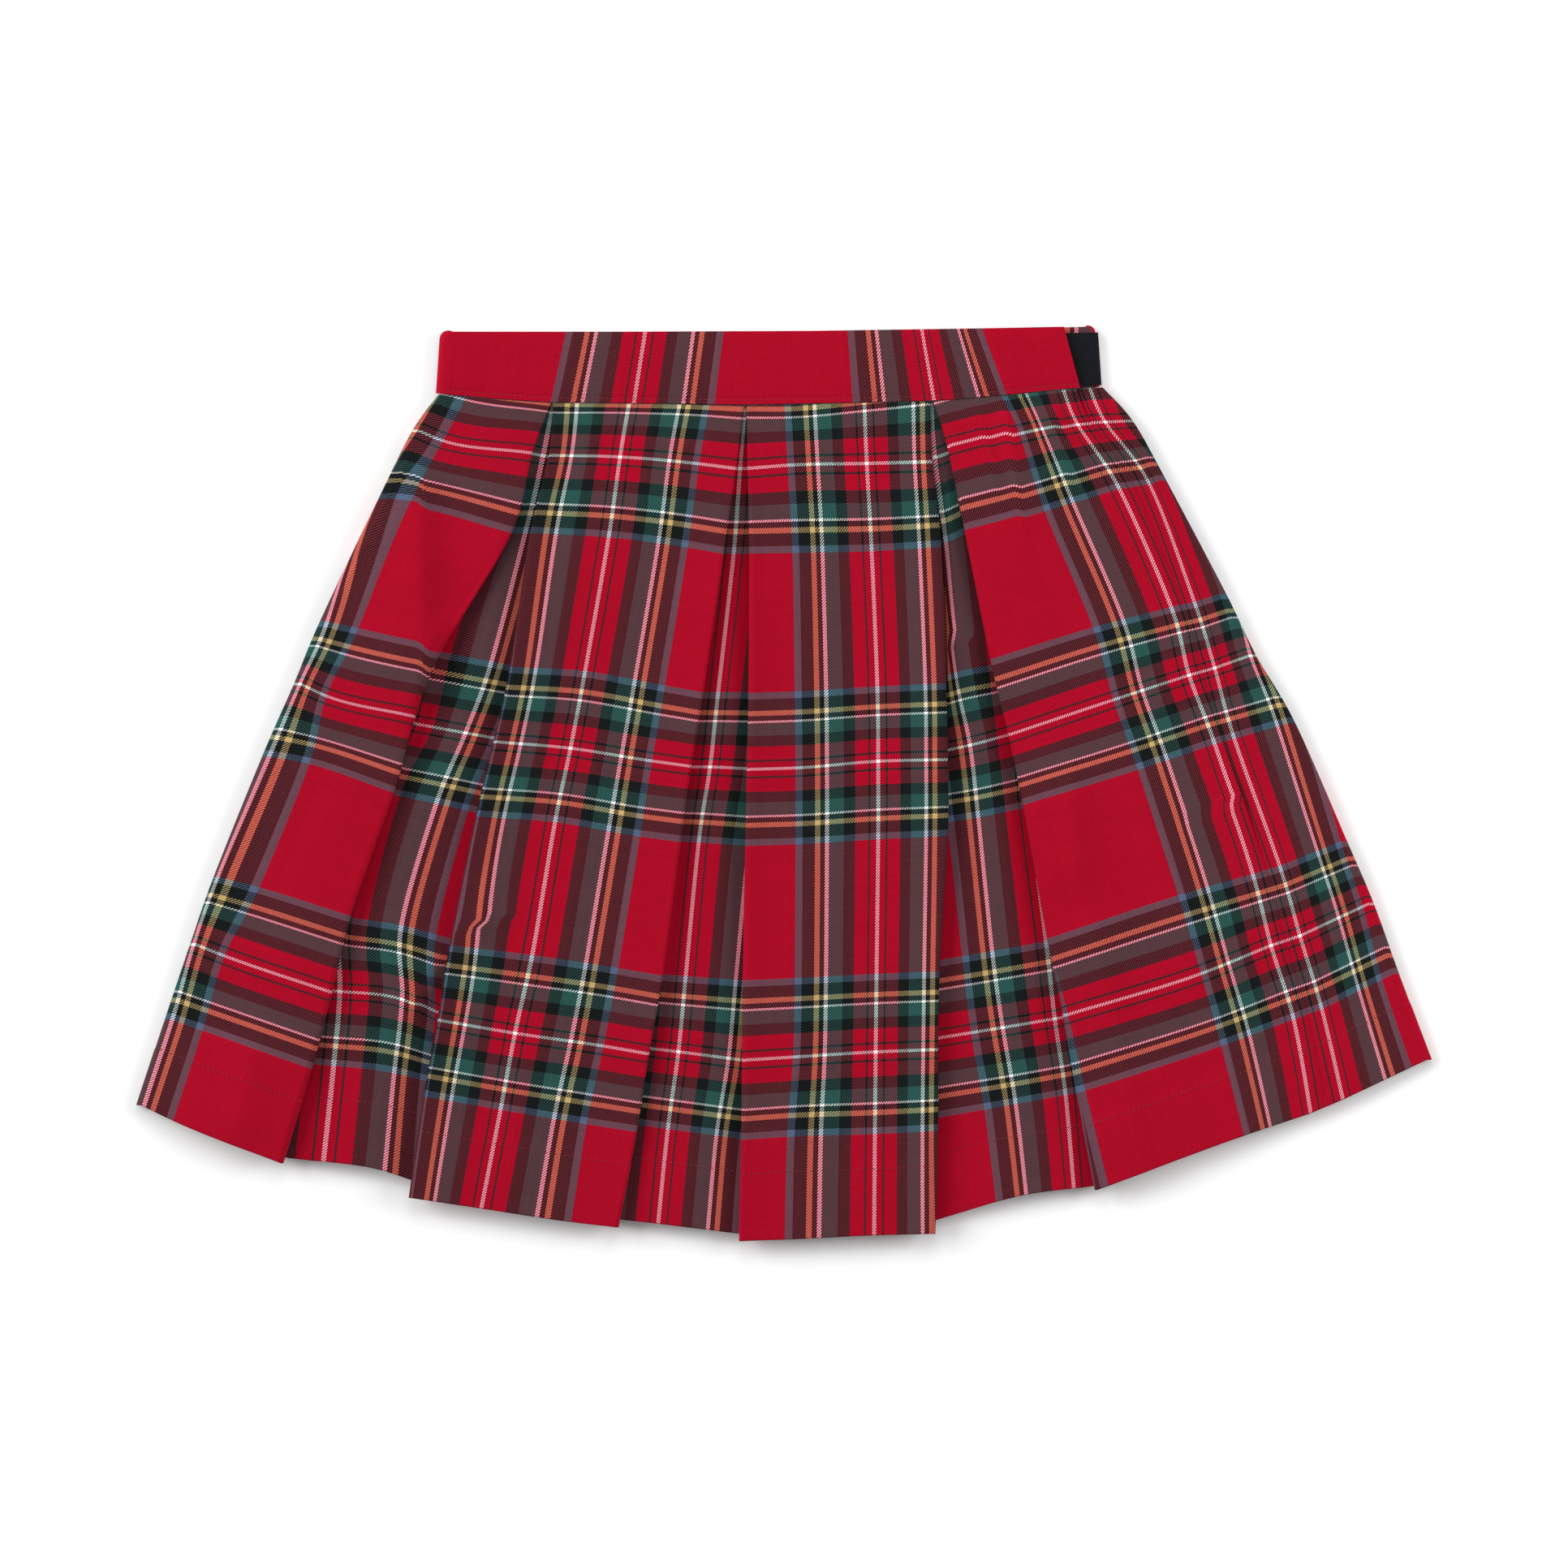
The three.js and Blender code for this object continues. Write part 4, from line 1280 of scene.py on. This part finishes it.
def hem_rows(section, cloth, parts):
    """The runs of a section that carry stitches, on the cloth's upper side."""
    rows, row = [], []
    lift = cloth.hem_thickness / 2 + cloth.stitch_width * STITCH_STANDS
    for point, part in zip(section.points, section.parts):
        if part.startswith(parts):
            row.append((point[0], point[1], point[2] + lift))
        elif row:
            rows.append(row)
            row = []
    if row:
        rows.append(row)
    return rows


def stitch_level():
    """The level at which the hem's stitches lie."""
    fine = np.linspace(8, LAST_LEVEL, 200)
    down = [smooth(LEVEL_DOWN, level) for level in fine]
    return float(np.interp(HEM_STITCH_DOWN, down, fine))


def make_cloth(context, name, section_at, node, slot_name):
    """Makes one side of the skirt from its section at each level."""
    cloth = context.scene.skirt_cloth
    sections = [dress(section_at(level), level, cloth) for level in level_rows(cloth.row_step)]
    piece = sheet_object(name, sections)
    solidify(piece, cloth.hem_thickness, cloth.thickness / cloth.hem_thickness)
    finish_piece(piece, tartan_material(slot_name), node)
    return piece


class SKIRT_OT_front(bpy.types.Operator):
    """Make the skirt's front: four panels with box pleats between them"""

    bl_idname = "skirt.front"
    bl_label = "Front"

    def execute(self, context):
        piece = make_cloth(context, "front_cloth", front_section, "front_skirt", "front_tartan")
        return {"FINISHED"}


class SKIRT_OT_back(bpy.types.Operator):
    """Make the skirt's back, with the strip that comes round the right side"""

    bl_idname = "skirt.back"
    bl_label = "Back"

    def execute(self, context):
        piece = make_cloth(context, "back_cloth", back_section, "back_skirt", "back_tartan")
        return {"FINISHED"}


class SKIRT_OT_band(bpy.types.Operator):
    """Make the waistband, from its front end round both sides to the underlap"""

    bl_idname = "skirt.band"
    bl_label = "Waistband"

    def execute(self, context):
        sections = [band_section(share) for share in reversed(BAND_ROWS)]
        piece = sheet_object("band_cloth", sections)
        solidify(piece, BAND_WALL * STIFF_SHARE)
        round_edges(piece, 0.0006, 3)
        finish_piece(piece, tartan_material("band_tartan", PLAIN_RED), "waistband")
        return {"FINISHED"}


class SKIRT_OT_tape(bpy.types.Operator):
    """Make the black touch-fastening tape on the underlap"""

    bl_idname = "skirt.tape"
    bl_label = "Fastening tape"

    def execute(self, context):
        rows = TAPE_COUNTS["rows"]
        piece = sheet_object("tape", [tape_section(1 - i / rows) for i in range(rows + 1)])
        solidify(piece, TAPE_WALL * STIFF_SHARE)
        round_edges(piece, 0.0003, 2)
        finish_piece(piece, tape_material(), "fastening_tape")
        return {"FINISHED"}


class SKIRT_OT_stitches(bpy.types.Operator):
    """Make the hem's and the waistband's stitches"""

    bl_idname = "skirt.stitches"
    bl_label = "Stitches"

    def execute(self, context):
        cloth = context.scene.skirt_cloth
        level = stitch_level()
        front = dress(front_section(level), level, cloth)
        back = dress(back_section(level), level, cloth)
        rows = hem_rows(front, cloth, ("panel", "inset")) + hem_rows(back, cloth, ("strip",))
        band = band_section(BAND_STITCH_ROW)
        lift = BAND_WALL * STIFF_SHARE / 2 + cloth.stitch_width * STITCH_STANDS
        front_band = [point for point, part in zip(band.points, band.parts) if part == "front"]
        rows.append([(point[0], point[1], point[2] + lift) for point in front_band])
        piece = stitch_object("stitches", rows, cloth)
        finish_piece(piece, thread_material(), None)
        return {"FINISHED"}


class SKIRT_OT_studio(bpy.types.Operator):
    """Make the pale floor, the soft lights and the camera above the skirt"""

    bl_idname = "skirt.studio"
    bl_label = "Studio"

    def execute(self, context):
        scene = context.scene
        studio = scene.skirt_studio
        scene.view_settings.view_transform = "Standard"
        self.make_floor(studio)
        lights = (
            {"name": "left_light", "at": (-4.2, 1.4, 2.3), "size": 3.6, "power": studio.left_light},
            {"name": "right_light", "at": (1.6, 0.3, 0.95), "size": 1.0, "power": studio.right_light},
            {"name": "waist_light", "at": (0.0, 1.5, 1.7), "size": 1.4, "power": studio.top_light},
        )
        for row in lights:
            data = bpy.data.lights.new(row["name"], "AREA")
            data.energy = row["power"]
            data.size = row["size"]
            light = bpy.data.objects.new(row["name"], data)
            light.location = row["at"]
            light.rotation_euler = (-Vector(row["at"])).to_track_quat("-Z", "Y").to_euler()
            scene.collection.objects.link(light)
        world = bpy.data.worlds.new("studio")
        world.use_nodes = True
        background = world.node_tree.nodes["Background"]
        background.inputs["Color"].default_value = (1, 1, 1, 1)
        background.inputs["Strength"].default_value = studio.sky
        scene.world = world
        data = bpy.data.cameras.new("camera")
        data.lens = studio.camera_lens
        data.sensor_width = SENSOR_WIDTH
        data.clip_end = 20
        camera = bpy.data.objects.new("camera", data)
        height = layer_height(TOP_LAYER, MIDDLE_LEVEL) + studio.picture_width * data.lens / SENSOR_WIDTH
        camera.location = (0, to_y(PICTURE_SIZE / 2), height)
        scene.collection.objects.link(camera)
        scene.camera = camera
        return {"FINISHED"}

    def make_floor(self, studio):
        """A wide plain floor just under the skirt."""
        bm = bmesh.new()
        bmesh.ops.create_grid(bm, x_segments=1, y_segments=1, size=FLOOR_SIZE)
        floor = new_piece("floor", bm)
        nodes = Nodes("floor")
        nodes.set({"Base Color": (*studio.floor, 1), "Roughness": 0.9, "Specular IOR Level": 0.1})
        floor.data.materials.append(nodes.material)


class SKIRT_PT_panel(bpy.types.Panel):
    """The skirt's sizes, colours and makers"""

    bl_label = "Pleated skirt"
    bl_space_type = "VIEW_3D"
    bl_region_type = "UI"
    bl_category = "Skirt"

    def draw(self, context):
        for group in (context.scene.skirt_cloth, context.scene.skirt_colours, context.scene.skirt_studio):
            for name in group.__annotations__:
                self.layout.prop(group, name)
        for operator in OPERATORS:
            self.layout.operator(operator.bl_idname)


GROUPS = {"skirt_cloth": SkirtCloth, "skirt_colours": SkirtColours, "skirt_studio": SkirtStudio}
OPERATORS = (
    SKIRT_OT_front, SKIRT_OT_back, SKIRT_OT_band, SKIRT_OT_tape, SKIRT_OT_stitches, SKIRT_OT_studio)


def register():
    for name, group in GROUPS.items():
        bpy.utils.register_class(group)
        setattr(bpy.types.Scene, name, bpy.props.PointerProperty(type=group))
    for operator in OPERATORS:
        bpy.utils.register_class(operator)
    bpy.utils.register_class(SKIRT_PT_panel)


def unregister():
    bpy.utils.unregister_class(SKIRT_PT_panel)
    for operator in reversed(OPERATORS):
        bpy.utils.unregister_class(operator)
    for name, group in GROUPS.items():
        delattr(bpy.types.Scene, name)
        bpy.utils.unregister_class(group)


def main():
    register()
    bpy.ops.skirt.front()
    bpy.ops.skirt.back()
    bpy.ops.skirt.band()
    bpy.ops.skirt.tape()
    bpy.ops.skirt.stitches()
    bpy.ops.skirt.studio()


if __name__ == "__main__":
    main()
